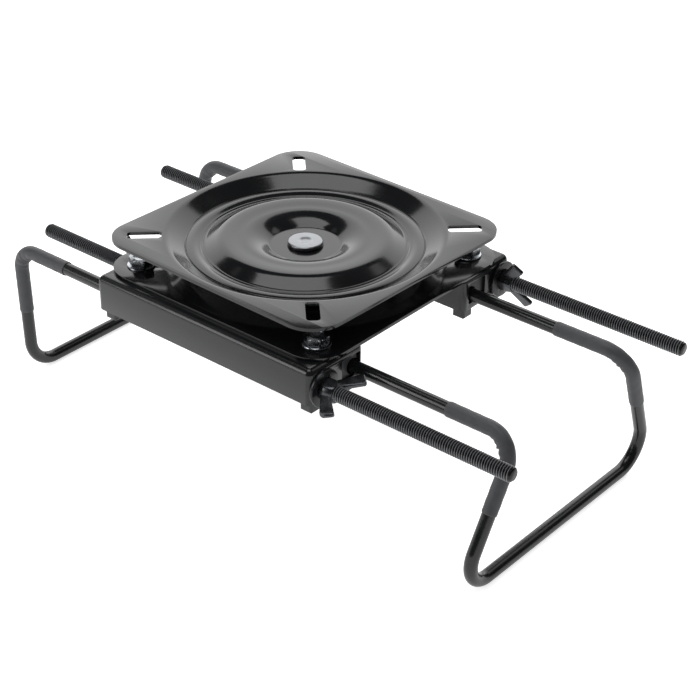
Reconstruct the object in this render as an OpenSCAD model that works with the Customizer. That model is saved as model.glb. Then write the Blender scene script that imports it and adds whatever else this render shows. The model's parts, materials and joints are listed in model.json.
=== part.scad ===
// Clamp-on swivel bracket for a boat's bench seat.
// Two pressed square plates turn on a ring of balls. The lower plate is bolted to two pressed
// pans, and two bent rod hooks pass through the pans and are drawn in by wing nuts, so that
// the bracket grips the bench between its feet and the hooks' bars.
// Origin: the swivel axis at the seat plate's top face. X along the hooks' arms, Z up. Millimetres.

/* [Swivel plates] */
// Side of each square plate
plate_side = 173; // [170:1:184]
// Radius of the plates' corners
plate_corner_r = 20; // [10:1:24]
// Sheet thickness of the plates
plate_t = 2; // [1.6:0.1:2.4]
// Height of the swivel, from the seat face down to the pans' decks
swivel_h = 21; // [20:0.5:24]
// Turn of the seat plate about the pivot
seat_turn = -1.2; // [-180:0.2:180]
// Least width of the flat rim, from a plate's edge to the dish
rim_w = 2.5; // [1.5:0.5:5]
// Width of the slope from the rim down to the ball race
dish_slope_w = 13.5; // [10:0.5:16]
// Flat of the race outside the ring of balls
race_outside_w = 4; // [3:0.1:5]
// Flat of the race inside the ring of balls
race_inside_w = 6.5; // [5.5:0.1:8]
// Width of the slope from the race up to the dome
dome_slope_w = 9.5; // [7:0.5:12]
// Depth of the dome's crown below the rim
dome_drop = 2; // [1.5:0.1:3]
// How much lower the dome's inner lip is than its crown
dome_fall = 0.9; // [0.3:0.1:1.2]
// Width of the slope from the dome's inner lip down to the pivot's pad
well_slope_w = 7.5; // [6:0.5:12]
// Radius of the flat pad round the pivot
pad_r = 21.5; // [17:0.5:24]
// Distance from the race's inner edge to the middle of the groove pressed along it
groove_inset = 1.6; // [1:0.1:2.5]
// Half-width of that groove
groove_half_w = 1; // [0.6:0.1:1.2]
// Depth of that groove
groove_depth = 0.8; // [0.3:0.1:0.9]
// Distance from the dish out to a seat slot
slot_rim_gap = 0.85; // [0.5:0.05:4]
// Length of a seat slot
slot_l = 20.3; // [16:0.1:21]
// Corner radius of a seat slot
slot_corner_r = 2.2; // [0.5:0.1:3]

/* [Ball race and pivot] */
// Number of balls
ball_count = 24; // [12:1:40]
// Diameter of a ball
ball_d = 3.97; // [3:0.01:4.5]
// Play of a ball against each plate
ball_play = 0.115; // [0.05:0.005:0.3]
// Radial width of the cage
cage_w = 7; // [5.5:0.1:7.5]
// Thickness of the cage
cage_t = 1.2; // [0.6:0.1:2]
// Gap between the two plates' pivot pads
pad_gap = 0.4; // [0.1:0.1:1]
// Radius of the pivot rivet's shank
rivet_r = 6; // [4:0.1:7]
// Radius of the rivet's head
rivet_head_r = 10.5; // [9:0.1:13]
// Height of the rivet's head
rivet_head_h = 1.5; // [1:0.1:3]
// Radius of the dimple in the rivet's head
dimple_r = 3.2; // [1:0.1:4]
// Depth of the dimple
dimple_depth = 0.6; // [0.2:0.1:1]
// Running clearance of the pivot
pivot_clearance = 0.05; // [0.02:0.01:0.1]
// Thickness of the thrust washer
thrust_t = 1.25; // [0.8:0.05:1.8]
// Outer radius of the thrust washer
thrust_r = 10.8; // [9:0.1:14]

/* [Pans] */
// Distance from the bolts to each end of a pan, before the pans' shift
pan_end_margin = 15; // [13.5:0.5:20]
// Distance from the left hook's arm out to the pan's outer face
outer_margin = 9.35; // [8.5:0.05:12]
// Distance from the right hook's arm in to the pan's inner face
inner_margin = 8.35; // [8:0.05:12]
// Height of each pan
pan_h = 22; // [21:0.5:26]
// Sheet thickness of the pans
pan_t = 2; // [1.5:0.1:2.4]
// Outer radius of the pans' pressed edges
pan_edge_r = 4; // [2.6:0.1:4]
// Shift of both pans along the arms on their bolts
pan_shift_x = 1; // [-2:0.1:2]
// Shift of both pans across the arms on their bolts
pan_shift_y = -1; // [-1.2:0.1:1.2]
// Length of a window in a pan's end wall
window_w = 16; // [15:0.1:18]
// Height of a window
window_h = 13.8; // [12:0.1:14]
// Height of a window's middle above the arms' axes
window_rise = 2.1; // [1:0.1:2.5]
// Distance from a window's middle to the arm that passes it, towards the pan's middle
window_offset = 3.55; // [2:0.05:4.5]
// Corner radius of a window
window_corner_r = 1.5; // [0.5:0.1:3]

/* [End blocks and feet] */
// Length of an end block
block_l = 24; // [22:0.5:30]
// Clearance between an end block and the pan round it
block_clearance = 0.1; // [0.05:0.05:0.3]
// Side of a square foot
foot_side = 9; // [6:0.5:10]
// How far a foot stands below the pan
foot_h = 7.5; // [3:0.5:10]
// Radius of a foot's lower and upright edges
foot_edge_r = 2; // [0.5:0.1:2.8]
// Distance from a foot to the pan's inner wall
foot_inset = 1.5; // [0.5:0.1:3]
// Chamfer along an end block's edges
block_chamfer = 2; // [1.2:0.1:2.5]

/* [Bolts] */
// Distance of a bolt from the middle of its slot, away from the pivot
bolt_slot_shift = 2.58; // [0:0.01:4]
// Radius of a bolt's shank
bolt_r = 3.9; // [3:0.1:4.5]
// Clearance of a bolt across its slot
slot_clearance = 0.1; // [0.05:0.05:0.5]
// Clearance of a bolt in its holes
bolt_clearance = 0.25; // [0.1:0.05:0.5]
// Width across the flats of a bolt's head and nut
bolt_flats = 13; // [11:0.5:13.5]
// Height of a bolt's head above its flange
bolt_head_h = 4.2; // [3:0.1:5]
// Radius of a bolt's flange
bolt_flange_r = 8.4; // [7.8:0.1:9.5]
// Thickness of a bolt's flange
bolt_flange_t = 1.6; // [1:0.1:2.5]
// Height of a bolt's nut
bolt_nut_h = 6.8; // [4:0.1:8]
// Depth of a nut's pocket in the end block
nut_pocket_h = 8; // [7.5:0.1:11]
// How far a bolt's tip stays inside the pan's open edge
bolt_tip_inset = 0.6; // [0:0.1:1]
// Chamfer on a bolt head's corners
head_chamfer = 0.6; // [0.2:0.1:1.2]

/* [Hooks] */
// Radius of a hook's rod
rod_r = 3.95; // [3:0.05:4.2]
// Crest radius of the thread on a hook's ends
thread_r = 4.5; // [4.3:0.05:4.9]
// Chamfer at the end of a threaded arm
rod_chamfer = 1.2; // [0.5:0.1:1.5]
// How far the arms' axes lie below the middle of the pans' height
arm_below_middle = 2.5; // [1.5:0.1:3]
// Depth of the hooks' bars below the arms
hook_depth = 86.4; // [75:0.1:110]
// Distance of the left hook's arms from the bolts, away from the swivel axis
left_arm_out = 13.4; // [12.5:0.1:16]
// X of the left hook's threaded ends
left_end_x = 213.5; // [180:0.5:240]
// X of the left hook's upper corners
left_corner_x = -164.2; // [-190:0.1:-150]
// How far the left hook's bar stands out beyond its upper corners
left_leg_lean = -1.4; // [-10:0.1:25]
// How far each leg of the left hook comes in from its arm
left_leg_taper = 1.5; // [-10:0.1:25]
// Length of thread on the left hook's arms
left_thread_l = 168; // [165:1:200]
// Distance of the right hook's arms from the bolts, towards the swivel axis
right_arm_in = 14.4; // [12.5:0.1:16]
// X of the right hook's front threaded end
right_front_end_x = -168; // [-210:0.5:-150]
// X of the right hook's rear threaded end
right_rear_end_x = -175; // [-210:0.5:-150]
// X of the right hook's upper corners
right_corner_x = 195.6; // [185:0.1:220]
// How far the right hook's bar stands back from its upper corners
right_leg_lean = 6.3; // [-20:0.1:20]
// How far each leg of the right hook spreads out from its arm
right_leg_spread = 38.2; // [5:0.1:45]
// Length of thread on the right hook's arms
right_thread_l = 150; // [145:1:190]
// Centre-line radius of the left hook's upper bends
left_bend_r = 14.3; // [10:0.1:20]
// Centre-line radius of the right hook's upper bends
right_bend_r = 16.4; // [14:0.1:30]
// Centre-line radius of both hooks' lower bends
lower_bend_r = 18; // [12:0.1:24]

/* [Sleeves] */
// Wall of a sleeve
sleeve_wall = 0.35; // [0.3:0.05:1.5]
// Clearance between a sleeve and its rod
sleeve_clearance = 0.1; // [0.05:0.05:0.3]
// Length of the left sleeves on the arms, measured from the hook's corners
left_sleeve_run = 43.8; // [30:0.1:50]
// Drop from the arms to the left sleeves' lower ends
left_sleeve_drop = 45; // [30:0.5:58]
// Length of the front right sleeve on the arm, measured from the hook's corner
right_front_sleeve_run = 45.2; // [36:0.1:60]
// Length of the rear right sleeve on the arm, measured from the hook's corner
right_rear_sleeve_run = 50.5; // [36:0.1:60]
// Drop from the arms to the front right sleeve's lower end
right_front_sleeve_drop = 39.5; // [36:0.5:58]
// Drop from the arms to the rear right sleeve's lower end
right_rear_sleeve_drop = 38; // [36:0.5:58]

/* [Wing nuts and washers] */
// Clearance of a wing nut's bore round the thread
nut_clearance = 0.0375; // [0.02:0.0025:0.1]
// Radius of a wing nut's hub at its foot
nut_hub_r = 6.6; // [6.3:0.1:8]
// Radius of a wing nut's hub at its nose
nut_nose_r = 5.8; // [5.4:0.1:6.2]
// Length of a wing nut's hub
nut_hub_l = 8.5; // [8:0.5:14]
// Width of a wing
wing_w = 8; // [6:0.5:9]
// Thickness of a wing
wing_t = 3; // [2:0.1:4]
// Rise of a wing from the nut's foot plane, in degrees
wing_rise = 41; // [20:1:60]
// Distance from the nut's axis to the middle of a wing's tip
wing_reach = 15.3; // [12:0.1:17]
// Height of the middle of a wing's tip above the nut's foot
wing_lift = 13.5; // [9:0.1:15]
// Distance of a wing's root from the hub's foot and from its nose
wing_root_inset = 0.6; // [0.3:0.1:1.5]
// Corner radius of a wing's tip
wing_corner_r = 2.4; // [0.5:0.1:3]
// Turn of the front right nut from level
front_right_turn = -14.4; // [-180:0.1:180]
// Turn of the rear right nut from level
rear_right_turn = 65; // [-180:0.1:180]
// Turn of the front left nut from level
front_left_turn = 96; // [-180:0.1:180]
// Turn of the rear left nut from level
rear_left_turn = 80; // [-180:0.1:180]
// Outer radius of a washer
washer_r = 11.2; // [9:0.1:12]
// Thickness of a washer
washer_t = 2.2; // [1:0.1:3]
// Radial clearance of an arm in a washer, an end wall or an end block
arm_clearance = 0.45; // [0.2:0.05:0.6]
// Gap between a washer and the wing nut that bears on it
nut_gap = 0.05; // [0.02:0.01:0.1]

/* [Hidden] */

// Which side of the bracket a piece is on
front = -1;
rear = 1;
left = -1;
right = 1;

// Facets of the plates, of cylinders, of bends and rods, and of the smallest round forms
fn_big = 32;
fn_rod = 24;
fn_bend = 24;
fn_sweep = 16;
fn_small = 16;

// Steps in each pressed curve of the plates, and in each small polygon corner
curve_steps = 5;
corner_steps = 4;
// Overshoot of a cutting tool past the face that it opens
cut = 1;
// How much fuller a bend is than the straight rod, and how far the straight runs into it
bend_swell = 0.02;
bend_overlap = 0.3;

// Radii of the plates' pressing, from the rim inwards
rim_r = plate_side / 2 - rim_w;
race_outer_r = rim_r - dish_slope_w;
ball_ring_r = race_outer_r - race_outside_w;
race_inner_r = ball_ring_r - race_inside_w;
groove_r = race_inner_r + groove_inset;
dome_r = race_inner_r - dome_slope_w;
dome_inner_r = pad_r + well_slope_w;

// The seat slots, and the bolts that stand in the lower plate's
slot_w = 2 * (bolt_r + slot_clearance);
slot_centre_r = rim_r + slot_rim_gap + slot_l / 2;
bolt_xy = (slot_centre_r + bolt_slot_shift) / sqrt(2);
bolt_hole_r = bolt_r + bolt_clearance;

// Depths that the plates' pressing must have for the balls and the pivot pads to meet
race_drop = (swivel_h - 2 * plate_t - ball_d - 2 * ball_play) / 2;
pad_drop = (swivel_h - 2 * plate_t - pad_gap) / 2;
dome_lip_drop = dome_drop + dome_fall;

// Heights down the pivot
thrust_top_z = -pad_drop + pivot_clearance + thrust_t;
lower_pad_z = -swivel_h + pad_drop;
ball_z = -swivel_h / 2;

// The hooks' arms, which run through the pans on both sides of the bolts
left_arm_y = bolt_xy + left_arm_out;
right_arm_y = bolt_xy - right_arm_in;
guide_r = thread_r + arm_clearance;

// The pans and what sits in them
pan_l = 2 * (bolt_xy + pan_end_margin);
pan_w = left_arm_y + outer_margin - right_arm_y + inner_margin;
pan_centre_y = right_arm_y - inner_margin + pan_w / 2;
pan_x = [-pan_l / 2 + pan_shift_x, pan_l / 2 + pan_shift_x];
deck_z = -swivel_h;
pan_low_z = deck_z - pan_h;
block_h = pan_h - pan_t;
block_w = pan_w - 2 * pan_t - 2 * block_clearance;
arm_z = deck_z - pan_h / 2 - arm_below_middle;

// The hooks' bars and sleeves
bar_z = arm_z - hook_depth;
left_bar_x = left_corner_x - left_leg_lean;
left_bar_y = left_arm_y - left_leg_taper;
right_bar_x = right_corner_x - right_leg_lean;
right_bar_y = right_arm_y + right_leg_spread;
sleeve_bore_r = rod_r + sleeve_clearance;

// The wing nuts
nut_bore_r = thread_r + nut_clearance;

function unit(v) = v / norm(v);

// Middle of the pan on one side
function pan_y(side) = side * pan_centre_y + pan_shift_y;

// Outer face of a pan's wall at one end
function end_x(end) = end == left ? pan_x[0] : pan_x[1];

// Distance from the swivel axis to the arm whose thread comes out at one end, and to the window
// that the other hook's arm passes there
function threaded_arm_y(end) = end == right ? left_arm_y : right_arm_y;
function window_y(end) =
    end == right ? right_arm_y + window_offset : left_arm_y - window_offset;

// Height of a smooth step between two radii
function step_z(r, r0, z0, r1, z1) = z0 + (z1 - z0) * (1 - cos(180 * (r - r0) / (r1 - r0))) / 2;

// Slope of that step
function step_slope(r, r0, z0, r1, z1) =
    (z1 - z0) * sin(180 * (r - r0) / (r1 - r0)) * PI / (2 * (r1 - r0));

// The pressed curves of a plate, each as inner radius, its height, outer radius, its height
pressed_steps = [
    [pad_r, -pad_drop, dome_inner_r, -dome_lip_drop],
    [dome_inner_r, -dome_lip_drop, dome_r, -dome_drop],
    [dome_r, -dome_drop, race_inner_r, -race_drop],
    [race_outer_r, -race_drop, rim_r, 0]
];

// Points along a face of the dish, at a height above the sheet's middle measured square to it
function dish_face(height) = [
    for (s = pressed_steps)
        for (i = [0:curve_steps])
            let (
                r = s[0] + (s[2] - s[0]) * i / curve_steps,
                z = step_z(r, s[0], s[1], s[2], s[3]),
                normal = unit([-step_slope(r, s[0], s[1], s[2], s[3]), 1])
            )
            [r, z - plate_t / 2] + height * normal
];

function reversed(list) = [for (i = [len(list) - 1:-1:0]) list[i]];

// Closed section of the dish, from the pivot's hole out to the rim
function dish_section(hole_r) = concat(
    [[hole_r, -pad_drop]],
    dish_face(plate_t / 2),
    reversed(dish_face(-plate_t / 2)),
    [[hole_r, -pad_drop - plate_t]]
);

// Arc of points round a corner
function arc(centre, r, from, to) = [
    for (i = [0:corner_steps])
        let (a = from + (to - from) * i / corner_steps)
        centre + r * [cos(a), sin(a)]
];

module rounded_rectangle(l, w, r) {
    square([l, w - 2 * r], center = true);
    square([l - 2 * r, w], center = true);
    for (x = [-1, 1])
        for (y = [-1, 1])
            translate([x * (l / 2 - r), y * (w / 2 - r)])
                circle(r = r, $fn = r > fn_rod / 2 ? fn_rod : fn_small);
}

module ring(outer_r, inner_r, h) {
    difference() {
        cylinder(r = outer_r, h = h, $fn = fn_rod);
        translate([0, 0, -cut])
            cylinder(r = inner_r, h = h + 2 * cut, $fn = fn_rod);
    }
}

// Hexagonal prism with a flat towards Y
module hexagon(flats, h) {
    cylinder(r = flats / sqrt(3), h = h, $fn = 6);
}

// One pressed plate, seat side up: rim, dish, groove, four slots and the pivot's hole
module swivel_plate() {
    difference() {
        union() {
            translate([0, 0, -plate_t])
                linear_extrude(plate_t)
                    difference() {
                        rounded_rectangle(plate_side, plate_side, plate_corner_r);
                        circle(r = rim_r, $fn = fn_big);
                    }
            rotate_extrude($fn = fn_big)
                polygon(dish_section(rivet_r + pivot_clearance));
        }
        rotate_extrude($fn = fn_big)
            translate([groove_r, -race_drop + groove_half_w - groove_depth])
                circle(r = groove_half_w, $fn = fn_small);
        for (i = [0:3])
            rotate([0, 0, 45 + 90 * i])
                translate([slot_centre_r, 0, -plate_t - cut])
                    linear_extrude(plate_t + 2 * cut)
                        rounded_rectangle(slot_l, slot_w, slot_corner_r);
    }
}

module top_plate() {
    color("#1c1d1f")
        rotate([0, 0, seat_turn])
            swivel_plate();
}

module bottom_plate() {
    color("#1c1d1f")
        translate([0, 0, -swivel_h])
            mirror([0, 0, 1])
                swivel_plate();
}

// Pivot rivet: dimpled head over the thrust washer, shank through both plates, closed below
module pivot_rivet() {
    edge_r = rivet_head_h * 0.7;
    head_top_z = thrust_top_z + rivet_head_h;
    color("#b9bcc0")
        rotate_extrude($fn = fn_big)
            polygon(concat(
                [
                    [0, lower_pad_z - rivet_head_h],
                    [rivet_head_r - edge_r, lower_pad_z - rivet_head_h],
                    [rivet_head_r, lower_pad_z - rivet_head_h + edge_r],
                    [rivet_head_r, lower_pad_z],
                    [rivet_r, lower_pad_z],
                    [rivet_r, thrust_top_z],
                    [rivet_head_r, thrust_top_z]
                ],
                arc([rivet_head_r - edge_r, head_top_z - edge_r], edge_r, 0, 90),
                [
                    [dimple_r, head_top_z],
                    [dimple_r * 0.6, head_top_z - dimple_depth],
                    [0, head_top_z - dimple_depth]
                ]
            ));
}

module thrust_washer() {
    color("#2c2d2f")
        translate([0, 0, thrust_top_z - thrust_t])
            ring(thrust_r, rivet_r + pivot_clearance, thrust_t);
}

module bearing_balls() {
    color("#c4c7cb")
        for (i = [0:ball_count - 1])
            rotate([0, 0, 360 * i / ball_count])
                translate([ball_ring_r, 0, ball_z])
                    sphere(d = ball_d, $fn = fn_small);
}

module ball_cage() {
    color("#3a3b3d")
        difference() {
            translate([0, 0, ball_z - cage_t / 2])
                ring(ball_ring_r + cage_w / 2, ball_ring_r - cage_w / 2, cage_t);
            for (i = [0:ball_count - 1])
                rotate([0, 0, 360 * i / ball_count])
                    translate([ball_ring_r, 0, ball_z - cage_t])
                        cylinder(r = ball_d / 2 + ball_play, h = 2 * cage_t, $fn = fn_small);
        }
}

// Section of a pan's wall with its rounded upper edge, outer face at the edge's radius
module pan_wall_section() {
    edge_z = deck_z - pan_edge_r;
    inner_r = pan_edge_r - pan_t;
    translate([inner_r, pan_low_z])
        square([pan_t, edge_z - pan_low_z]);
    intersection() {
        translate([0, edge_z])
            square(pan_edge_r);
        translate([0, edge_z])
            difference() {
                circle(r = pan_edge_r, $fn = fn_sweep);
                circle(r = inner_r, $fn = fn_sweep);
            }
    }
}

// An upturned pan about its own middle: four walls, four round corners and the deck
module pan_shell() {
    straight_l = pan_l - 2 * pan_edge_r;
    straight_w = pan_w - 2 * pan_edge_r;
    for (turn = [0:90:270]) {
        along = turn % 180 == 0;
        rotate([0, 0, turn])
            translate([(along ? straight_l : straight_w) / 2, 0, 0])
                rotate([90, 0, 0])
                    linear_extrude(along ? straight_w : straight_l, center = true)
                        pan_wall_section();
    }
    for (x = [-1, 1])
        for (y = [-1, 1])
            translate([x * straight_l / 2, y * straight_w / 2, 0])
                rotate([0, 0, x > 0 ? (y > 0 ? 0 : 270) : (y > 0 ? 90 : 180)])
                    rotate_extrude(angle = 90, $fn = fn_rod)
                        pan_wall_section();
    translate([-straight_l / 2, -straight_w / 2, deck_z - pan_t])
        cube([straight_l, straight_w, pan_t]);
}

// A pressed pan with a window for the free arm and a hole for the threaded arm at each end
module pan(side) {
    difference() {
        translate([pan_shift_x, pan_y(side), 0])
            pan_shell();
        for (end = [left, right])
            translate([end_x(end), 0, 0]) {
                translate([0, side * threaded_arm_y(end), arm_z])
                    rotate([0, 90, 0])
                        cylinder(r = guide_r, h = 4 * pan_t, center = true, $fn = fn_rod);
                translate([0, side * window_y(end), arm_z + window_rise])
                    rotate([90, 0, 90])
                        linear_extrude(4 * pan_t, center = true)
                            rounded_rectangle(window_w, window_h, window_corner_r);
            }
        for (x = [-1, 1])
            translate([x * bolt_xy, side * bolt_xy, deck_z - pan_t - cut])
                cylinder(r = bolt_hole_r, h = pan_t + 2 * cut, $fn = fn_rod);
    }
}

module chamfered_rectangle(l, w, c) {
    polygon([
        [-l / 2 + c, -w / 2], [l / 2 - c, -w / 2], [l / 2, -w / 2 + c], [l / 2, w / 2 - c],
        [l / 2 - c, w / 2], [-l / 2 + c, w / 2], [-l / 2, w / 2 - c], [-l / 2, -w / 2 + c]
    ]);
}

// A moulded block with every edge chamfered, about its own middle
module chamfered_block(l, w, h, c) {
    intersection() {
        linear_extrude(h, center = true)
            chamfered_rectangle(l, w, c);
        rotate([90, 0, 0])
            linear_extrude(w, center = true)
                chamfered_rectangle(l, h, c);
        rotate([90, 0, 90])
            linear_extrude(l, center = true)
                chamfered_rectangle(w, h, c);
    }
}

// Side view of a foot: square above, rounded below
module foot_section(h) {
    side = foot_side / 2;
    polygon(concat(
        [[side, h], [-side, h]],
        arc([-side + foot_edge_r, foot_edge_r], foot_edge_r, 180, 270),
        arc([side - foot_edge_r, foot_edge_r], foot_edge_r, 270, 360)
    ));
}

// A square foot with rounded lower and upright edges, its sole at zero
module foot() {
    h = foot_h + block_chamfer;
    intersection() {
        linear_extrude(h)
            rounded_rectangle(foot_side, foot_side, foot_edge_r);
        rotate([90, 0, 0])
            linear_extrude(foot_side, center = true)
                foot_section(h);
        rotate([90, 0, 90])
            linear_extrude(foot_side, center = true)
                foot_section(h);
    }
}

// Moulded block inside a pan's end: guides both arms, holds the bolt's nut and stands on two feet
module end_block(side, end) {
    outer_x = end_x(end) - end * (pan_t + block_clearance);
    foot_y = pan_w / 2 - pan_t - foot_inset - foot_side / 2;
    color("#4a4b4d")
        difference() {
            union() {
                translate([outer_x - end * block_l / 2, pan_y(side), pan_low_z + block_h / 2])
                    chamfered_block(block_l, block_w, block_h, block_chamfer);
                for (y = [-1, 1])
                    translate([outer_x - end * foot_side / 2, pan_y(side) + y * foot_y,
                               pan_low_z - foot_h])
                        foot();
            }
            for (y = [left_arm_y, right_arm_y])
                translate([outer_x - end * block_l / 2, side * y, arm_z])
                    rotate([0, 90, 0])
                        cylinder(r = guide_r, h = block_l + 2 * cut, center = true, $fn = fn_rod);
            translate([end * bolt_xy, side * bolt_xy, pan_low_z - cut]) {
                cylinder(r = bolt_hole_r, h = block_h + 2 * cut, $fn = fn_rod);
                hexagon(bolt_flats + 2 * bolt_clearance, nut_pocket_h + cut);
            }
        }
}

// Hexagon bolt with a round flange, its flange on the lower plate's rim
module plate_bolt(side, end) {
    seat_z = deck_z + plate_t;
    head_r = bolt_flats / sqrt(3);
    tip_z = pan_low_z + bolt_tip_inset;
    color("#b4b7bb")
        translate([end * bolt_xy, side * bolt_xy, 0]) {
            translate([0, 0, seat_z])
                cylinder(r1 = bolt_flange_r, r2 = bolt_flange_r - bolt_flange_t / 2,
                         h = bolt_flange_t, $fn = fn_rod);
            translate([0, 0, seat_z + bolt_flange_t])
                intersection() {
                    hexagon(bolt_flats, bolt_head_h);
                    cylinder(r1 = head_r + 2 * bolt_head_h - head_chamfer, r2 = head_r - head_chamfer,
                             h = bolt_head_h, $fn = fn_rod);
                }
            translate([0, 0, tip_z])
                cylinder(r = bolt_r, h = seat_z - tip_z, $fn = fn_rod);
        }
}

module plate_bolt_nut(side, end) {
    color("#b4b7bb")
        translate([end * bolt_xy, side * bolt_xy, pan_low_z + nut_pocket_h - bolt_nut_h])
            difference() {
                hexagon(bolt_flats, bolt_nut_h);
                translate([0, 0, -cut])
                    cylinder(r = bolt_r + pivot_clearance, h = bolt_nut_h + 2 * cut, $fn = fn_rod);
            }
}

// Angle turned at a corner of a path, and the straight that a bend there takes from each side
function turn_at(a, b, c) = acos(unit(b - a) * unit(c - b));
function trim_at(a, b, c, bend_r) = bend_r * tan(turn_at(a, b, c) / 2);

module rod_between(a, b, r) {
    d = b - a;
    translate(a)
        rotate([0, acos(d[2] / norm(d)), atan2(d[1], d[0])])
            cylinder(r = r, h = norm(d), $fn = fn_sweep);
}

// Round bend at corner b of the path a, b, c
module rod_bend(a, b, c, bend_r, r) {
    start_way = unit(b - a);
    end_way = unit(c - b);
    centre = b + unit(end_way - start_way) * bend_r / cos(turn_at(a, b, c) / 2);
    outward = (b - start_way * trim_at(a, b, c, bend_r) - centre) / bend_r;
    axis = cross(outward, start_way);
    multmatrix([
        [outward[0], start_way[0], axis[0], centre[0]],
        [outward[1], start_way[1], axis[1], centre[1]],
        [outward[2], start_way[2], axis[2], centre[2]],
        [0, 0, 0, 1]
    ])
        rotate_extrude(angle = turn_at(a, b, c), $fn = fn_bend)
            translate([bend_r, 0])
                circle(r = r, $fn = fn_sweep);
}

// A rod along a path of corner points, with a bend radius for each inner corner
module bent_rod(path, bends, r) {
    last = len(path) - 1;
    trims = [
        for (i = [0:last])
            i == 0 || i == last
                ? 0
                : trim_at(path[i - 1], path[i], path[i + 1], bends[i - 1]) - bend_overlap
    ];
    for (i = [0:last - 1]) {
        way = unit(path[i + 1] - path[i]);
        rod_between(path[i] + trims[i] * way, path[i + 1] - trims[i + 1] * way, r);
    }
    for (i = [1:last - 1])
        rod_bend(path[i - 1], path[i], path[i + 1], bends[i - 1], r + bend_swell);
}

// Thread envelope on one arm, from its chamfered end inwards
module threaded_end(x, y, inward, l) {
    translate([x, y, arm_z])
        rotate([0, inward * 90, 0]) {
            cylinder(r1 = thread_r - rod_chamfer, r2 = thread_r, h = rod_chamfer, $fn = fn_rod);
            translate([0, 0, rod_chamfer])
                cylinder(r = thread_r, h = l - rod_chamfer, $fn = fn_rod);
        }
}

// A hook with its two threaded ends at front_tip_x and rear_tip_x
module hook(front_tip_x, rear_tip_x, corner_x, bar_x, arm_y, bar_y, bend_r, thread_l) {
    inward = front_tip_x > corner_x ? -1 : 1;
    front_rod_x = front_tip_x + inward * thread_l;
    rear_rod_x = rear_tip_x + inward * thread_l;
    color("#222325") {
        bent_rod(
            [
                [front_rod_x, -arm_y, arm_z], [corner_x, -arm_y, arm_z], [bar_x, -bar_y, bar_z],
                [bar_x, bar_y, bar_z], [corner_x, arm_y, arm_z], [rear_rod_x, arm_y, arm_z]
            ],
            [bend_r, lower_bend_r, lower_bend_r, bend_r],
            rod_r
        );
        threaded_end(front_tip_x, -arm_y, inward, thread_l);
        threaded_end(rear_tip_x, arm_y, inward, thread_l);
    }
}

module left_hook() {
    hook(left_end_x, left_end_x, left_corner_x, left_bar_x, left_arm_y, left_bar_y, left_bend_r,
         left_thread_l);
}

module right_hook() {
    hook(right_front_end_x, right_rear_end_x, right_corner_x, right_bar_x, right_arm_y,
         right_bar_y, right_bend_r, right_thread_l);
}

// Tube round a hook's upper bend, from the arm down the leg
module sleeve(run, drop, corner, foot_point, bend_r) {
    start = corner - [sign(corner[0]) * run, 0, 0];
    end = corner + (foot_point - corner) * drop / (corner[2] - foot_point[2]);
    start_way = unit(start - corner);
    end_way = unit(end - corner);
    color("#3b3c3e")
        difference() {
            bent_rod([start, corner, end], [bend_r], sleeve_bore_r + sleeve_wall);
            bent_rod([start + cut * start_way, corner, end + cut * end_way], [bend_r],
                     sleeve_bore_r);
        }
}

module left_sleeve(side) {
    sleeve(left_sleeve_run, left_sleeve_drop,
           [left_corner_x, side * left_arm_y, arm_z],
           [left_bar_x, side * left_bar_y, bar_z], left_bend_r);
}

module right_sleeve(side) {
    sleeve(side == front ? right_front_sleeve_run : right_rear_sleeve_run,
           side == front ? right_front_sleeve_drop : right_rear_sleeve_drop,
           [right_corner_x, side * right_arm_y, arm_z],
           [right_bar_x, side * right_bar_y, bar_z], right_bend_r);
}

// Carries a piece modelled along +Z from a pan's end face out along a threaded arm
module on_arm(side, end, standoff) {
    translate([end_x(end) + end * standoff, side * threaded_arm_y(end), arm_z])
        rotate([0, end * 90, 0])
            children();
}

module washer(side, end) {
    color("#151617")
        on_arm(side, end, 0)
            ring(washer_r, guide_r, washer_t);
}

// Points that round corner b between its neighbours a and c
function rounded_corner(a, b, c, r) =
    let (
        to_a = unit(a - b),
        to_c = unit(c - b),
        half = acos(to_a * to_c) / 2,
        centre = b + unit(to_a + to_c) * r / sin(half),
        first = b + to_a * r / tan(half) - centre,
        from = atan2(first[1], first[0]),
        way = cross(to_a, to_c) < 0 ? 1 : -1
    )
    arc(centre, r, from, from + way * (180 - 2 * half));

// One wing's side view: radius along X, height from the nut's foot along Y
module wing_outline() {
    across = wing_w / 2 * [-sin(wing_rise), cos(wing_rise)];
    tip = [wing_reach, wing_lift];
    root_low = [nut_bore_r, wing_root_inset];
    root_high = [nut_bore_r, nut_hub_l - wing_root_inset];
    polygon(concat(
        [root_low],
        rounded_corner(root_low, tip - across, tip + across, wing_corner_r),
        rounded_corner(tip - across, tip + across, root_high, wing_corner_r),
        [root_high]
    ));
}

// Wing nut on a threaded arm: a tapered hub with two flared wings
module wing_nut(side, end, turn) {
    color("#6d6f72")
        on_arm(side, end, washer_t + nut_gap)
            rotate([0, 0, -end * turn])
                difference() {
                    union() {
                        rotate_extrude($fn = fn_rod)
                            polygon([
                                [0, 0], [nut_hub_r, 0], [nut_hub_r, nut_hub_l / 2],
                                [nut_nose_r, nut_hub_l], [0, nut_hub_l]
                            ]);
                        for (flip = [0, 180])
                            rotate([0, 0, flip + 90])
                                rotate([90, 0, 0])
                                    linear_extrude(wing_t, center = true)
                                        wing_outline();
                    }
                    translate([0, 0, -cut])
                        cylinder(r = nut_bore_r, h = nut_hub_l + 2 * cut, $fn = fn_rod);
                }
}

module front_pan() {
    color("#232426")
        pan(front);
}

module rear_pan() {
    color("#232426")
        pan(rear);
}

module front_left_block() {
    end_block(front, left);
}

module front_right_block() {
    end_block(front, right);
}

module rear_left_block() {
    end_block(rear, left);
}

module rear_right_block() {
    end_block(rear, right);
}

module front_left_bolt() {
    plate_bolt(front, left);
}

module front_right_bolt() {
    plate_bolt(front, right);
}

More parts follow.
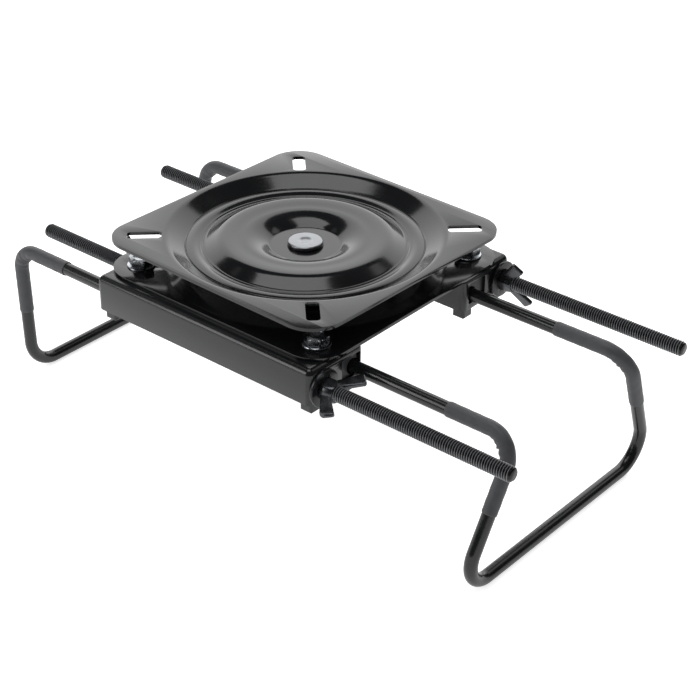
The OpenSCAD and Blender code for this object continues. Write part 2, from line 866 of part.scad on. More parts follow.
module rear_left_bolt() {
    plate_bolt(rear, left);
}

module rear_right_bolt() {
    plate_bolt(rear, right);
}

module front_left_bolt_nut() {
    plate_bolt_nut(front, left);
}

module front_right_bolt_nut() {
    plate_bolt_nut(front, right);
}

module rear_left_bolt_nut() {
    plate_bolt_nut(rear, left);
}

module rear_right_bolt_nut() {
    plate_bolt_nut(rear, right);
}

module front_left_sleeve() {
    left_sleeve(front);
}

module front_right_sleeve() {
    right_sleeve(front);
}

module rear_left_sleeve() {
    left_sleeve(rear);
}

module rear_right_sleeve() {
    right_sleeve(rear);
}

module front_left_wing_nut() {
    wing_nut(front, left, front_left_turn);
}

module front_right_wing_nut() {
    wing_nut(front, right, front_right_turn);
}

module rear_left_wing_nut() {
    wing_nut(rear, left, rear_left_turn);
}

module rear_right_wing_nut() {
    wing_nut(rear, right, rear_right_turn);
}

module front_left_washer() {
    washer(front, left);
}

module front_right_washer() {
    washer(front, right);
}

module rear_left_washer() {
    washer(rear, left);
}

module rear_right_washer() {
    washer(rear, right);
}

top_plate();
bottom_plate();
pivot_rivet();
thrust_washer();
bearing_balls();
ball_cage();
front_pan();
rear_pan();
front_left_block();
front_right_block();
rear_left_block();
rear_right_block();
front_left_bolt();
front_right_bolt();
rear_left_bolt();
rear_right_bolt();
front_left_bolt_nut();
front_right_bolt_nut();
rear_left_bolt_nut();
rear_right_bolt_nut();
left_hook();
right_hook();
front_left_sleeve();
rear_left_sleeve();
front_right_sleeve();
rear_right_sleeve();
front_left_wing_nut();
rear_left_wing_nut();
front_right_wing_nut();
rear_right_wing_nut();
front_left_washer();
rear_left_washer();
front_right_washer();
rear_right_washer();
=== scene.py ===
"""Clamp-on swivel bracket for a boat's bench seat, dressed for a studio picture.

Two pressed, black enamelled plates turn on a ball race above two pressed pans. Two bent rod
hooks with rolled threads pass through the pans and are drawn in by wing nuts.
"""

import json
import logging
import math
from dataclasses import dataclass
from enum import Enum
from typing import Any, Callable, Sequence

import bmesh
import bpy
from mathutils import Matrix, Vector


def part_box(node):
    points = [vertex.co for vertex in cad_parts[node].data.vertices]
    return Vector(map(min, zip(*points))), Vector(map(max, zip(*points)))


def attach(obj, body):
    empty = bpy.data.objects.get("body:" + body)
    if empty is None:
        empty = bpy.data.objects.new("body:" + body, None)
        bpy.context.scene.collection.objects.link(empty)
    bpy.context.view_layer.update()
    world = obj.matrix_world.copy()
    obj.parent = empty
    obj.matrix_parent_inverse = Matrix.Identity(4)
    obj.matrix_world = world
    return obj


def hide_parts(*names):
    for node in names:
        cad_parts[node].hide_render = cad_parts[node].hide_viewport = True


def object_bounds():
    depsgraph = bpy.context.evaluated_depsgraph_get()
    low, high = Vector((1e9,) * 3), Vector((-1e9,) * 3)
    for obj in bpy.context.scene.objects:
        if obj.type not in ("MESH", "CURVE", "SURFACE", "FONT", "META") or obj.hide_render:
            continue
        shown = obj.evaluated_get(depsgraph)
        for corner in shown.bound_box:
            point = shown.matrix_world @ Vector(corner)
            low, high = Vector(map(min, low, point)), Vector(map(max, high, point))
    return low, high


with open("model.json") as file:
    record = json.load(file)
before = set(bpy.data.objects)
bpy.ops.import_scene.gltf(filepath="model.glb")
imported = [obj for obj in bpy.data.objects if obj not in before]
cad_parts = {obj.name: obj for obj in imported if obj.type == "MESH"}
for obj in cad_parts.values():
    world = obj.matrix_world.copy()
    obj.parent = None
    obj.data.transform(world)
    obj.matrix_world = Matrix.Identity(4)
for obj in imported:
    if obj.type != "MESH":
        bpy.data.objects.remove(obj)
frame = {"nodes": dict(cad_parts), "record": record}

LOG = logging.getLogger("bracket")
MM = 0.001
CAD_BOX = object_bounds()

# Where a noise texture's values mostly lie
NOISE_LOW, NOISE_HIGH = 0.3, 0.7
# Blender's Mix node numbers its sockets by kind: the two numbers in, the two colours in and out
MIX_NUMBER_A, MIX_NUMBER_B = 2, 3
MIX_COLOUR_A, MIX_COLOUR_B, MIX_COLOUR_OUT = 6, 7, 2
# Points closer than this, in millimetres, are one point
WELD_MM = 0.001
# Radius of the pinprick that closes a turned piece on its axis, in millimetres
AXIS_R = 0.02


def linear(hex_code: str) -> tuple[float, float, float, float]:
    """Turn an sRGB hex colour into linear light.

    Args:
        hex_code: Six hex digits, such as "1a1b1d".

    Returns:
        Red, green, blue and a full alpha.
    """
    channels = [int(hex_code[i : i + 2], 16) / 255 for i in (0, 2, 4)]
    bent = [c / 12.92 if c <= 0.04045 else ((c + 0.055) / 1.055) ** 2.4 for c in channels]
    return (bent[0], bent[1], bent[2], 1.0)


def add_node(
    tree: bpy.types.NodeTree, kind: str, inputs: dict[Any, Any] | None = None, **settings: Any
) -> bpy.types.Node:
    """Add a node to a tree with its settings, values and links.

    Args:
        tree: The tree that gets the node.
        kind: The node's type name.
        inputs: Socket names or numbers, each with a value or with the output that feeds it.
        **settings: Attributes of the node.

    Returns:
        The new node.
    """
    made = tree.nodes.new(kind)
    for name, value in settings.items():
        setattr(made, name, value)
    for key, value in (inputs or {}).items():
        socket = made.inputs[key]
        if isinstance(value, bpy.types.NodeSocket):
            tree.links.new(value, socket)
        else:
            socket.default_value = value
    return made


@dataclass(frozen=True)
class Finish:
    """A surface finish: what it is made of, how it was made, and the texture that this leaves."""

    name: str
    slot: str
    base_hex: str
    shade_hex: str
    roughness: float
    roughness_swing: float
    patch_mm: float
    grain_mm: float
    grain_depth_mm: float
    metallic: float = 0.0
    ior: float = 1.5
    least_roughness: float = 0.02
    grain_stretch: tuple[float, float, float] = (1.0, 1.0, 1.0)
    # Colour of a painted highlight laid on the crests, for pieces that carry a crest attribute
    crest_hex: str = ""

    def material(self) -> bpy.types.Material:
        """Build the node material, or return it if it is there already.

        Returns:
            A material whose colour and gloss vary in patches and whose grain is a fine bump.
        """
        found = bpy.data.materials.get(self.name)
        if found is not None:
            return found
        made = bpy.data.materials.new(self.name)
        made.use_nodes = True
        tree = made.node_tree
        tree.nodes.clear()
        place = add_node(tree, "ShaderNodeTexCoord")
        patches = add_node(
            tree,
            "ShaderNodeTexNoise",
            {"Vector": place.outputs["Object"], "Scale": 1 / (self.patch_mm * MM), "Detail": 3.0},
        )
        colour = add_node(
            tree,
            "ShaderNodeMix",
            {
                0: patches.outputs["Fac"],
                MIX_COLOUR_A: linear(self.shade_hex),
                MIX_COLOUR_B: linear(self.base_hex),
            },
            data_type="RGBA",
        )
        # Painted highlight: the crest attribute lays crest_hex over the crests, leaving the base
        # colour in the roots as painted shade
        if self.crest_hex:
            painted_highlight_mask = add_node(tree, "ShaderNodeAttribute", attribute_name="crest")
            colour = add_node(
                tree,
                "ShaderNodeMix",
                {
                    0: painted_highlight_mask.outputs["Fac"],
                    MIX_COLOUR_A: colour.outputs[MIX_COLOUR_OUT],
                    MIX_COLOUR_B: linear(self.crest_hex),
                },
                data_type="RGBA",
            )
        gloss = add_node(
            tree,
            "ShaderNodeMapRange",
            {
                "Value": patches.outputs["Fac"],
                "From Min": NOISE_LOW,
                "From Max": NOISE_HIGH,
                "To Min": max(self.roughness - self.roughness_swing, self.least_roughness),
                "To Max": self.roughness + self.roughness_swing,
            },
        )
        stretch = add_node(
            tree,
            "ShaderNodeMapping",
            {"Vector": place.outputs["Object"], "Scale": Vector(self.grain_stretch)},
        )
        grain = add_node(
            tree,
            "ShaderNodeTexNoise",
            {"Vector": stretch.outputs[0], "Scale": 1 / (self.grain_mm * MM), "Detail": 2.0},
        )
        bump = add_node(
            tree,
            "ShaderNodeBump",
            {"Height": grain.outputs["Fac"], "Strength": 1.0, "Distance": self.grain_depth_mm * MM},
        )
        shader = add_node(
            tree,
            "ShaderNodeBsdfPrincipled",
            {
                "Base Color": colour.outputs[MIX_COLOUR_OUT],
                "Metallic": self.metallic,
                "Roughness": gloss.outputs[0],
                "Normal": bump.outputs[0],
                "IOR": self.ior,
            },
        )
        add_node(tree, "ShaderNodeOutputMaterial", {"Surface": shader.outputs[0]})
        return made


# Stoving enamel on pressed steel: a thick gloss coat with the faint waviness of sprayed paint
PLATE_ENAMEL = Finish(
    "gloss_black_stoving_enamel",
    "plate_enamel",
    base_hex="17181a",
    shade_hex="121314",
    roughness=0.13,
    roughness_swing=0.03,
    patch_mm=38.0,
    grain_mm=3.2,
    grain_depth_mm=0.012,
)
# The same enamel on the deeper drawn pans, a little rougher where the sheet was stretched
PAN_ENAMEL = Finish(
    "gloss_black_drawn_pan_enamel",
    "pan_enamel",
    base_hex="1d1e20",
    shade_hex="161718",
    roughness=0.2,
    roughness_swing=0.04,
    patch_mm=26.0,
    grain_mm=2.4,
    grain_depth_mm=0.02,
)
# Dipped enamel on drawn rod: fine draw lines along the rod show through the coat
ROD_ENAMEL = Finish(
    "black_dipped_rod_enamel",
    "rod_enamel",
    base_hex="1b1c1e",
    shade_hex="131415",
    roughness=0.2,
    roughness_swing=0.05,
    patch_mm=18.0,
    grain_mm=1.6,
    grain_depth_mm=0.02,
    grain_stretch=(0.15, 1.0, 1.0),
)
# The same enamel run thin over rolled threads: a darker base as painted shade in the roots, and a pale
# crest colour as a painted highlight on the crests
THREAD_ENAMEL = Finish(
    "thin_enamel_on_rolled_thread",
    "rod_enamel",
    base_hex="121214",
    shade_hex="0a0a0b",
    crest_hex="acaeb2",
    metallic=0.3,
    roughness=0.3,
    roughness_swing=0.06,
    patch_mm=5.0,
    grain_mm=0.6,
    grain_depth_mm=0.01,
)
# Bright zinc plate on cold-headed steel: soft sparkle with slightly clouded patches
ZINC_PLATE = Finish(
    "bright_zinc_plate",
    "zinc",
    base_hex="c9ccd0",
    shade_hex="9da1a6",
    metallic=1.0,
    roughness=0.24,
    roughness_swing=0.08,
    patch_mm=5.0,
    grain_mm=0.7,
    grain_depth_mm=0.02,
)
# The same plate on the peened rivet, dulled all over by the tool
PEENED_ZINC = Finish(
    "peened_zinc_plate",
    "zinc",
    base_hex="a9abae",
    shade_hex="85878a",
    metallic=1.0,
    roughness=0.36,
    roughness_swing=0.06,
    patch_mm=3.0,
    grain_mm=0.5,
    grain_depth_mm=0.02,
)
# Black phosphated steel washer, oiled: dark and half matt
WASHER_BLACK = Finish(
    "oiled_black_phosphate",
    "dark_washer",
    base_hex="333436",
    shade_hex="202122",
    metallic=0.6,
    roughness=0.22,
    roughness_swing=0.05,
    patch_mm=6.0,
    grain_mm=0.5,
    grain_depth_mm=0.02,
)
# Polished bearing steel: bright, with almost no texture
BALL_STEEL = Finish(
    "polished_bearing_steel",
    "ball_steel",
    base_hex="d0d2d5",
    shade_hex="b4b7bb",
    metallic=1.0,
    roughness=0.08,
    roughness_swing=0.02,
    patch_mm=3.0,
    grain_mm=0.6,
    grain_depth_mm=0.001,
)
# Injection-moulded nylon cage: half matt and even
CAGE_NYLON = Finish(
    "moulded_black_nylon",
    "cage_plastic",
    base_hex="2a2b2d",
    shade_hex="1f2022",
    roughness=0.45,
    roughness_swing=0.05,
    patch_mm=8.0,
    grain_mm=0.4,
    grain_depth_mm=0.01,
)
# Injection-moulded plastic blocks: matt, with the fine pitting of a spark-eroded mould
BLOCK_PLASTIC = Finish(
    "moulded_dark_grey_plastic",
    "block_plastic",
    base_hex="3c3d3f",
    shade_hex="303133",
    roughness=0.5,
    roughness_swing=0.06,
    patch_mm=9.0,
    grain_mm=0.35,
    grain_depth_mm=0.02,
)
# Soft vinyl tube shrunk over the rod: dull, with a dusty bloom and fine handling creases
SLEEVE_VINYL = Finish(
    "dull_dark_grey_vinyl",
    "sleeve_plastic",
    base_hex="525356",
    shade_hex="3c3d40",
    roughness=0.52,
    roughness_swing=0.08,
    patch_mm=7.0,
    grain_mm=0.6,
    grain_depth_mm=0.03,
)
# Cold-forged wing nut, its black zinc worn towards bright metal
NUT_METAL = Finish(
    "black_zinc_forging",
    "nut_metal",
    base_hex="5c5e61",
    shade_hex="3e3f42",
    metallic=0.9,
    roughness=0.27,
    roughness_swing=0.06,
    patch_mm=6.0,
    grain_mm=0.8,
    grain_depth_mm=0.02,
)


def body_of_node(node_name: str) -> str:
    """Find the body that a CAD node belongs to."""
    bodies = frame["record"]["behaviour"]["bodies"]
    return next(body for body, members in bodies.items() if node_name in members)


def adopt(piece: bpy.types.Object, node_name: str, finish: Finish) -> bpy.types.Object:
    """Let a finished piece stand for a CAD node.

    Args:
        piece: The mesh object, in the shared frame.
        node_name: The CAD node that it replaces.
        finish: The finish that it wears.

    Returns:
        The same piece.
    """
    if not piece.data.materials:
        piece.data.materials.append(finish.material())
    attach(piece, body_of_node(node_name))
    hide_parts(node_name)
    return piece


def add_object(name: str, data: bpy.types.ID) -> bpy.types.Object:
    """Link a new object to the scene.

    Args:
        name: The object's name.
        data: The mesh, curve, lamp or camera that it shows.

    Returns:
        The object.
    """
    made = bpy.data.objects.new(name, data)
    bpy.context.scene.collection.objects.link(made)
    return made


def evaluated_mesh(carrier: bpy.types.Object) -> bpy.types.Mesh:
    """Take the mesh that an object's modifiers or curve give."""
    graph = bpy.context.evaluated_depsgraph_get()
    return bpy.data.meshes.new_from_object(carrier.evaluated_get(graph))


def in_metres(place: Matrix) -> Matrix:
    """Turn a placement in millimetres into one in metres.

    Args:
        place: A turn or mirror with a shift in millimetres.

    Returns:
        The same turn or mirror with the shift in metres.
    """
    metres = place.copy()
    metres.translation = place.translation * MM
    return metres


def direction(azimuth_deg: float, elevation_deg: float) -> Vector:
    """Point from the bracket at an angle about Z from +X and an angle above the floor.

    Args:
        azimuth_deg: Angle about Z.
        elevation_deg: Angle above the floor.

    Returns:
        A vector of length 1.
    """
    turn, tilt = math.radians(azimuth_deg), math.radians(elevation_deg)
    level = math.cos(tilt)
    return Vector((math.cos(turn) * level, math.sin(turn) * level, math.sin(tilt)))


class Side(Enum):
    """Which side of the bracket a piece is on, by the sign of its Y."""

    FRONT = -1
    REAR = 1


class End(Enum):
    """Which end of the bracket a piece is on, by the sign of its X."""

    LEFT = -1
    RIGHT = 1


def node_name(side: Side, end: End, what: str) -> str:
    """Name the CAD node of a piece that comes once at each corner."""
    return f"{side.name.lower()}_{end.name.lower()}_{what}"


def smooth_step(share: float) -> float:
    """Rise from 0 to 1 along half a cosine wave."""
    return (1 - math.cos(math.pi * min(max(share, 0.0), 1.0))) / 2


def ramp(share: float, ease_in: float, ease_out: float) -> tuple[float, float]:
    """Give the height and the slope of a straight ramp whose two ends are rounded.

    Args:
        share: Place along the ramp, from 0 to 1.
        ease_in: Share of the ramp that its lower rounding takes.
        ease_out: Share of the ramp that its upper rounding takes.

    Returns:
        The height, from 0 to 1, and its slope.
    """
    steep = 1 / (1 - (ease_in + ease_out) / 2)
    left = 1 - share
    if share < ease_in:
        return steep * share * share / (2 * ease_in), steep * share / ease_in
    if left < ease_out:
        return 1 - steep * left * left / (2 * ease_out), steep * left / ease_out
    return steep * (share - ease_in / 2), steep


def mesh_from(
    name: str, points: Sequence[Vector], faces: Sequence[Sequence[int]], weld_mm: float = 0.0
) -> bpy.types.Mesh:
    """Make a mesh from points in millimetres, with its faces turned outwards.

    Args:
        name: The mesh's name.
        points: Corner points in millimetres.
        faces: Corner numbers of each face.
        weld_mm: Points closer than this are merged.

    Returns:
        The mesh, in metres.
    """
    shape = bmesh.new()
    made = [shape.verts.new(Vector(p) * MM) for p in points]
    for face in faces:
        corners = [made[i] for i in dict.fromkeys(face)]
        if len(corners) > 2:
            shape.faces.new(corners)
    if weld_mm > 0:
        bmesh.ops.remove_doubles(shape, verts=shape.verts, dist=weld_mm * MM)
    bmesh.ops.recalc_face_normals(shape, faces=shape.faces)
    mesh = bpy.data.meshes.new(name)
    shape.to_mesh(mesh)
    shape.free()
    return mesh


def joined(name: str, meshes: Sequence[bpy.types.Mesh]) -> bpy.types.Mesh:
    """Put several meshes into one and drop the parts.

    Args:
        name: The new mesh's name.
        meshes: The parts.

    Returns:
        The whole.
    """
    shape = bmesh.new()
    for mesh in meshes:
        shape.from_mesh(mesh)
    whole = bpy.data.meshes.new(name)
    shape.to_mesh(whole)
    shape.free()
    for mesh in meshes:
        bpy.data.meshes.remove(mesh)
    return whole


def bent_path(
    corners: Sequence[Vector], bends: Sequence[float], step_deg: float = 3.0, straight_mm: float = 6.0
) -> list[Vector]:
    """Follow a path of corners with a round bend at each inner one.

    Args:
        corners: The path's corner points.
        bends: Bend radius at each inner corner.
        step_deg: Turn between two points of a bend.
        straight_mm: Greatest distance between two points of a straight.

    Returns:
        Points along the path, in millimetres.
    """
    knots: list[Vector] = [corners[0]]
    for before, corner, after, radius in zip(corners, corners[1:], corners[2:], bends):
        come = (corner - before).normalized()
        leave = (after - corner).normalized()
        turn = come.angle(leave)
        trim = radius * math.tan(turn / 2)
        centre = corner + (leave - come).normalized() * radius / math.cos(turn / 2)
        out = (corner - come * trim - centre) / radius
        steps = max(2, math.ceil(math.degrees(turn) / step_deg))
        knots += [
            centre
            + radius * (out * math.cos(turn * i / steps) + come * math.sin(turn * i / steps))
            for i in range(steps + 1)
        ]
    knots.append(corners[-1])
    path = [knots[0]]
    for knot in knots[1:]:
        gap = knot - path[-1]
        parts = max(1, math.ceil(gap.length / straight_mm))
        start = path[-1]
        path += [start + gap * i / parts for i in range(1, parts + 1)]
    return path


def swept(
    path: Sequence[Vector],
    radius_at: Callable[[float, float], float],
    segments: int,
    first_up: Vector,
) -> tuple[list[list[Vector]], list[float]]:
    """Carry a ring of points along a path without twisting it.

    Args:
        path: Centre-line points in millimetres.
        radius_at: Radius for a distance along the path and an angle round it.
        segments: Points in each ring.
        first_up: Direction that angle zero starts from.

    Returns:
        The rings, and the distance along the path of each.
    """
    rings: list[list[Vector]] = []
    distances: list[float] = []
    up = first_up
    far = 0.0
    for i, point in enumerate(path):
        back = path[i] - path[i - 1] if i else path[1] - path[0]
        on = path[i + 1] - path[i] if i + 1 < len(path) else back
        way = (back.normalized() + on.normalized()).normalized()
        up = (up - way * up.dot(way)).normalized()
        beside = way.cross(up)
        far += back.length if i else 0.0
        distances.append(far)
        rings.append(
            [
                point
                + (up * math.cos(t) + beside * math.sin(t)) * radius_at(far, t)
                for t in (math.tau * k / segments for k in range(segments))
            ]
        )
    return rings, distances


def skin(name: str, rings: Sequence[Sequence[Vector]], closed: bool) -> bpy.types.Mesh:
    """Lay faces over a row of rings.

    Args:
        name: The mesh's name.
        rings: Rings of equal length, in millimetres.
        closed: True where the last ring meets the first, as round a tube's wall, and False where
            both ends are capped.

    Returns:
        The mesh.
    """
    n = len(rings[0])
    points = [p for ring in rings for p in ring]
    faces: list[list[int]] = []
    pairs = list(zip(range(len(rings)), range(1, len(rings))))
    if closed:
        pairs.append((len(rings) - 1, 0))
    for a, b in pairs:
        faces += [[a * n + k, a * n + (k + 1) % n, b * n + (k + 1) % n, b * n + k] for k in range(n)]
    if not closed:
        faces.append(list(range(n)))
        faces.append([(len(rings) - 1) * n + k for k in reversed(range(n))])
    return mesh_from(name, points, faces)


def lathed(
    name: str, section: Sequence[tuple[float, float]], segments: int, place: Matrix
) -> bpy.types.Mesh:
    """Turn a closed section about Z and put it in its place.

    Args:
        name: The mesh's name.
        section: Radius and height of each point in millimetres, once round the section.
        segments: Steps in the turn.
        place: Carries the turned piece to its place, in millimetres.

    Returns:
        The mesh.
    """
    rings = [
        [place @ Vector((r * math.cos(t), r * math.sin(t), z)) for r, z in section]
        for t in (math.tau * k / segments for k in range(segments))
    ]
    n = len(section)
    points = [p for ring in rings for p in ring]
    faces: list[list[int]] = []
    for a in range(segments):
        here, there = a * n, (a + 1) % segments * n
        faces += [[here + k, here + (k + 1) % n, there + (k + 1) % n, there + k] for k in range(n)]
    return mesh_from(name, points, faces, weld_mm=WELD_MM)


def settle(piece: bpy.types.Object, smooth_deg: float) -> None:
    """Apply a piece's modifiers and shade it smooth up to an angle.

    Args:
        piece: The piece, whose modifiers are taken into its mesh.
        smooth_deg: Edges sharper than this stay sharp.
    """
    if piece.modifiers:
        finished = evaluated_mesh(piece)
        piece.modifiers.clear()
        piece.data = finished
    for face in piece.data.polygons:
        face.use_smooth = True
    piece.data.set_sharp_from_angle(angle=math.radians(smooth_deg))


class NodeRecipe:
    """A Geometry Nodes tree that is built in the script, with named inputs."""

    def __init__(self, name: str, sizes: dict[str, float], material: bpy.types.Material) -> None:
        """Start the tree with its inputs and its material.

        Args:
            name: The tree's name.
            sizes: Each input's name and value, in metres, counts or degrees.
            material: What Set Material gives the result.
        """
        self.tree = bpy.data.node_groups.new(name, "GeometryNodeTree")
        self.sizes = sizes
        self.material = material
        self.tree.interface.new_socket("Geometry", in_out="OUTPUT", socket_type="NodeSocketGeometry")
        for label in sizes:
            self.tree.interface.new_socket(label, in_out="INPUT", socket_type="NodeSocketFloat")
        self.given = add_node(self.tree, "NodeGroupInput")

    def size(self, label: str) -> bpy.types.NodeSocket:
        """Give the socket of a named input."""
        return self.given.outputs[label]

    def maths(self, operation: str, *values: Any) -> bpy.types.NodeSocket:
        """Add a maths node and give its result."""
        node = add_node(self.tree, "ShaderNodeMath", dict(enumerate(values)), operation=operation)
        return node.outputs[0]

    def bake(self, name: str, result: bpy.types.NodeSocket) -> bpy.types.Mesh:
        """Finish the tree, run it and give its result as a plain mesh.

        Args:
            name: The mesh's name.
            result: The geometry that the tree has made.

        Returns:
            The mesh, with the recipe's material.
        """
        real = add_node(self.tree, "GeometryNodeRealizeInstances", {"Geometry": result})
        dressed = add_node(
            self.tree,
            "GeometryNodeSetMaterial",
            {"Geometry": real.outputs[0], "Material": self.material},
        )
        add_node(self.tree, "NodeGroupOutput", {0: dressed.outputs[0]})
        carrier = add_object(name, bpy.data.meshes.new(name))
        modifier = carrier.modifiers.new("recipe", "NODES")
        modifier.node_group = self.tree
        for item in self.tree.interface.items_tree:
            if item.in_out == "INPUT":
                modifier[item.identifier] = float(self.sizes[item.name])
        mesh = evaluated_mesh(carrier)
        bpy.data.objects.remove(carrier)
        return mesh


@dataclass
class StoodNode:
    """A CAD node whose form is right as it is: merged, its edges eased and shaded smooth."""

    node_name: str
    finish: Finish
    edge_mm: float
    smooth_deg: float = 32.0
    weld_mm: float = 0.002
    flat_deg: float = 0.4

    def build(self) -> bpy.types.Object:
        """Copy the node's mesh, ease its edges and put the copy in its place.

        Returns:
            The piece that stands for the node.
        """
        mesh = frame["nodes"][self.node_name].data.copy()
        mesh.materials.clear()
        shape = bmesh.new()
        shape.from_mesh(mesh)
        bmesh.ops.remove_doubles(shape, verts=shape.verts, dist=self.weld_mm * MM)
        bmesh.ops.dissolve_limit(
            shape, angle_limit=math.radians(self.flat_deg), verts=shape.verts, edges=shape.edges
        )
        shape.to_mesh(mesh)
        shape.free()
        piece = add_object(self.node_name + "_finished", mesh)
        mesh.materials.append(self.finish.material())
        bevel = piece.modifiers.new("eased_edges", "BEVEL")
        bevel.width = self.edge_mm * MM
        bevel.segments = 2
        bevel.limit_method = "ANGLE"
        bevel.angle_limit = math.radians(self.smooth_deg)
        bevel.use_clamp_overlap = True
        settle(piece, self.smooth_deg)
        return adopt(piece, self.node_name, self.finish)


@dataclass(frozen=True)
class PressedRing:
    """One ring of a pressing: a ramp between two radii whose two ends are rounded."""

    inner_r: float
    inner_h: float
    outer_r: float
    outer_h: float
    ease_in: float
    ease_out: float

    def height(self, r: float) -> tuple[float, float]:
        """Give the height and the slope at a radius.

        Args:
            r: Radius in the ring.

        Returns:
            The height in millimetres and the slope.
        """
        wide, rise = self.outer_r - self.inner_r, self.outer_h - self.inner_h
        share, steep = ramp((r - self.inner_r) / wide, self.ease_in, self.ease_out)
        return self.inner_h + rise * share, rise / wide * steep


@dataclass
class SwivelPlates:
    """The two pressed square plates: rim, dish, ball race, dome, well and four seat slots."""

    side: float = 173.0
    corner_r: float = 20.0
    sheet: float = 2.0
    swivel_h: float = 21.0
    seat_turn_deg: float = -1.2
    hole_r: float = 6.05
    pad_r: float = 21.5
    dome_inner_r: float = 37.0
    dome_r: float = 47.8
    race_inner_r: float = 60.2
    ridge_foot_r: float = 62.4
    ridge_r: float = 67.4
    race_outer_r: float = 71.0
    rim_r: float = 84.0
    pad_drop: float = 8.3
    dome_lip_drop: float = 2.5
    dome_drop: float = 2.0
    race_drop: float = 7.0
    ridge_drop: float = 5.9
    race_edge_drop: float = 6.35
    groove_radii: tuple[float, float] = (61.5, 71.2)
    groove_half_w: float = 1.1
    groove_depth: float = 0.42
    slot_centre_r: float = 95.0
    slot_l: float = 20.3
    slot_w: float = 8.0
    slot_corner_r: float = 2.2
    round_steps: int = 288
    slope_steps: int = 15
    groove_steps: int = 16
    corner_steps: int = 24
    slot_corner_steps: int = 8
    hole_land: float = 2.0
    pad_land: float = 1.0
    pressed_edge: float = 0.45
    seam_mm: float = 0.01
    edge_deg: float = 60.0
    smooth_deg: float = 40.0

    def height(self, r: float) -> tuple[float, float]:
        """Give the height of the sheet's middle and its slope at a radius.

        Args:
            r: Radius from the pivot.

        Returns:
            The height, below the flat rim's top, and the slope.
        """
        low = self.sheet / 2
        if r <= self.pad_r:
            return -self.pad_drop - low, 0.0
        for ring in self.pressing():
            if ring.inner_r <= r <= ring.outer_r:
                height, slope = ring.height(r)
                return height - low, slope
        return -low, 0.0

    def pressing(self) -> tuple[PressedRing, ...]:
        """List the rings of the pressing.

        Returns:
            The rings, from the pad round the rivet out to the flat rim.
        """
        pad, lip, dome = -self.pad_drop, -self.dome_lip_drop, -self.dome_drop
        race, ridge, race_edge = -self.race_drop, -self.ridge_drop, -self.race_edge_drop
        return (
            PressedRing(self.pad_r, pad, self.dome_inner_r, lip, 0.06, 0.92),
            PressedRing(self.dome_inner_r, lip, self.dome_r, dome, 0.4, 0.4),
            PressedRing(self.dome_r, dome, self.race_inner_r, race, 0.36, 0.1),
            PressedRing(self.race_inner_r, race, self.ridge_foot_r, race, 0.4, 0.4),
            PressedRing(self.ridge_foot_r, race, self.ridge_r, ridge, 0.3, 0.4),
            PressedRing(self.ridge_r, ridge, self.race_outer_r, race_edge, 0.5, 0.1),
            PressedRing(self.race_outer_r, race_edge, self.rim_r, 0.0, 0.15, 0.2),
        )

    def section(self) -> list[tuple[float, float]]:
        """Draw the upper face from the pivot's hole to the rim.

        Returns:
            The radius and height of each point.
        """
        reach = self.groove_half_w
        radii: list[float] = [self.hole_r, self.hole_r + self.hole_land, self.pad_r - self.pad_land]
        for ring in self.pressing():
            wide = ring.outer_r - ring.inner_r
            radii += [ring.inner_r + wide * i / self.slope_steps for i in range(self.slope_steps + 1)]
        for groove in self.groove_radii:
            steps = self.groove_steps
            radii += [groove - reach + 2 * reach * i / steps for i in range(steps + 1)]
        points: list[tuple[float, float]] = []
        for r in sorted(radii):
            middle, slope = self.height(r)
            lean = math.hypot(1, slope)
            x, z = r - slope / lean * self.sheet / 2, middle + self.sheet / 2 / lean
            for groove in self.groove_radii:
                away = abs(r - groove) / reach
                z -= self.groove_depth * smooth_step(1 - away) if away < 1 else 0.0
            if not points or x > points[-1][0] + self.seam_mm:
                points.append((x, z))
        points[-1] = (self.rim_r, 0.0)
        return points

    def outline(self, length: float, width: float, corner_r: float, steps: int) -> list[Vector]:
        """Draw a rounded rectangle about the origin, anticlockwise.

        Args:
            length: Size along X.
            width: Size along Y.
            corner_r: Radius of its corners.
            steps: Steps round each corner.

        Returns:
            The outline's points.
        """
        found: list[Vector] = []
        for quarter in range(4):
            sx = 1 if quarter in (0, 3) else -1
            sy = 1 if quarter in (0, 1) else -1
            middle = Vector((sx * (length / 2 - corner_r), sy * (width / 2 - corner_r), 0))
            found += [
                middle + corner_r * Vector((math.cos(a), math.sin(a), 0))
                for a in (math.pi / 2 * (quarter + i / steps) for i in range(steps + 1))
            ]
        return found

    def rim(self) -> bpy.types.Mesh:
        """Fill the flat between the dish, the square outline and the four slots.

        Returns:
            The flat's mesh, at height zero.
        """
        flat = bpy.data.curves.new("rim", "CURVE")
        flat.dimensions = "2D"
        flat.fill_mode = "BOTH"
        angles = [math.tau * k / self.round_steps for k in range(self.round_steps)]
        loops = [
            self.outline(self.side, self.side, self.corner_r, self.corner_steps),
            [self.rim_r * Vector((math.cos(a), math.sin(a), 0)) for a in angles],
        ]
        slot = self.outline(self.slot_l, self.slot_w, self.slot_corner_r, self.slot_corner_steps)
        shift = Matrix.Translation((self.slot_centre_r, 0, 0))
        for quarter in range(4):
            turn = Matrix.Rotation(math.pi / 4 + math.pi / 2 * quarter, 4, "Z")
            loops.append([turn @ shift @ p for p in slot])
        for loop in loops:
            spline = flat.splines.new("POLY")
            spline.points.add(len(loop) - 1)
            for held, point in zip(spline.points, loop):
                held.co = (*(point * MM), 1)
            spline.use_cyclic_u = True
        carrier = add_object("rim", flat)
        mesh = evaluated_mesh(carrier)
        bpy.data.objects.remove(carrier)
        return mesh

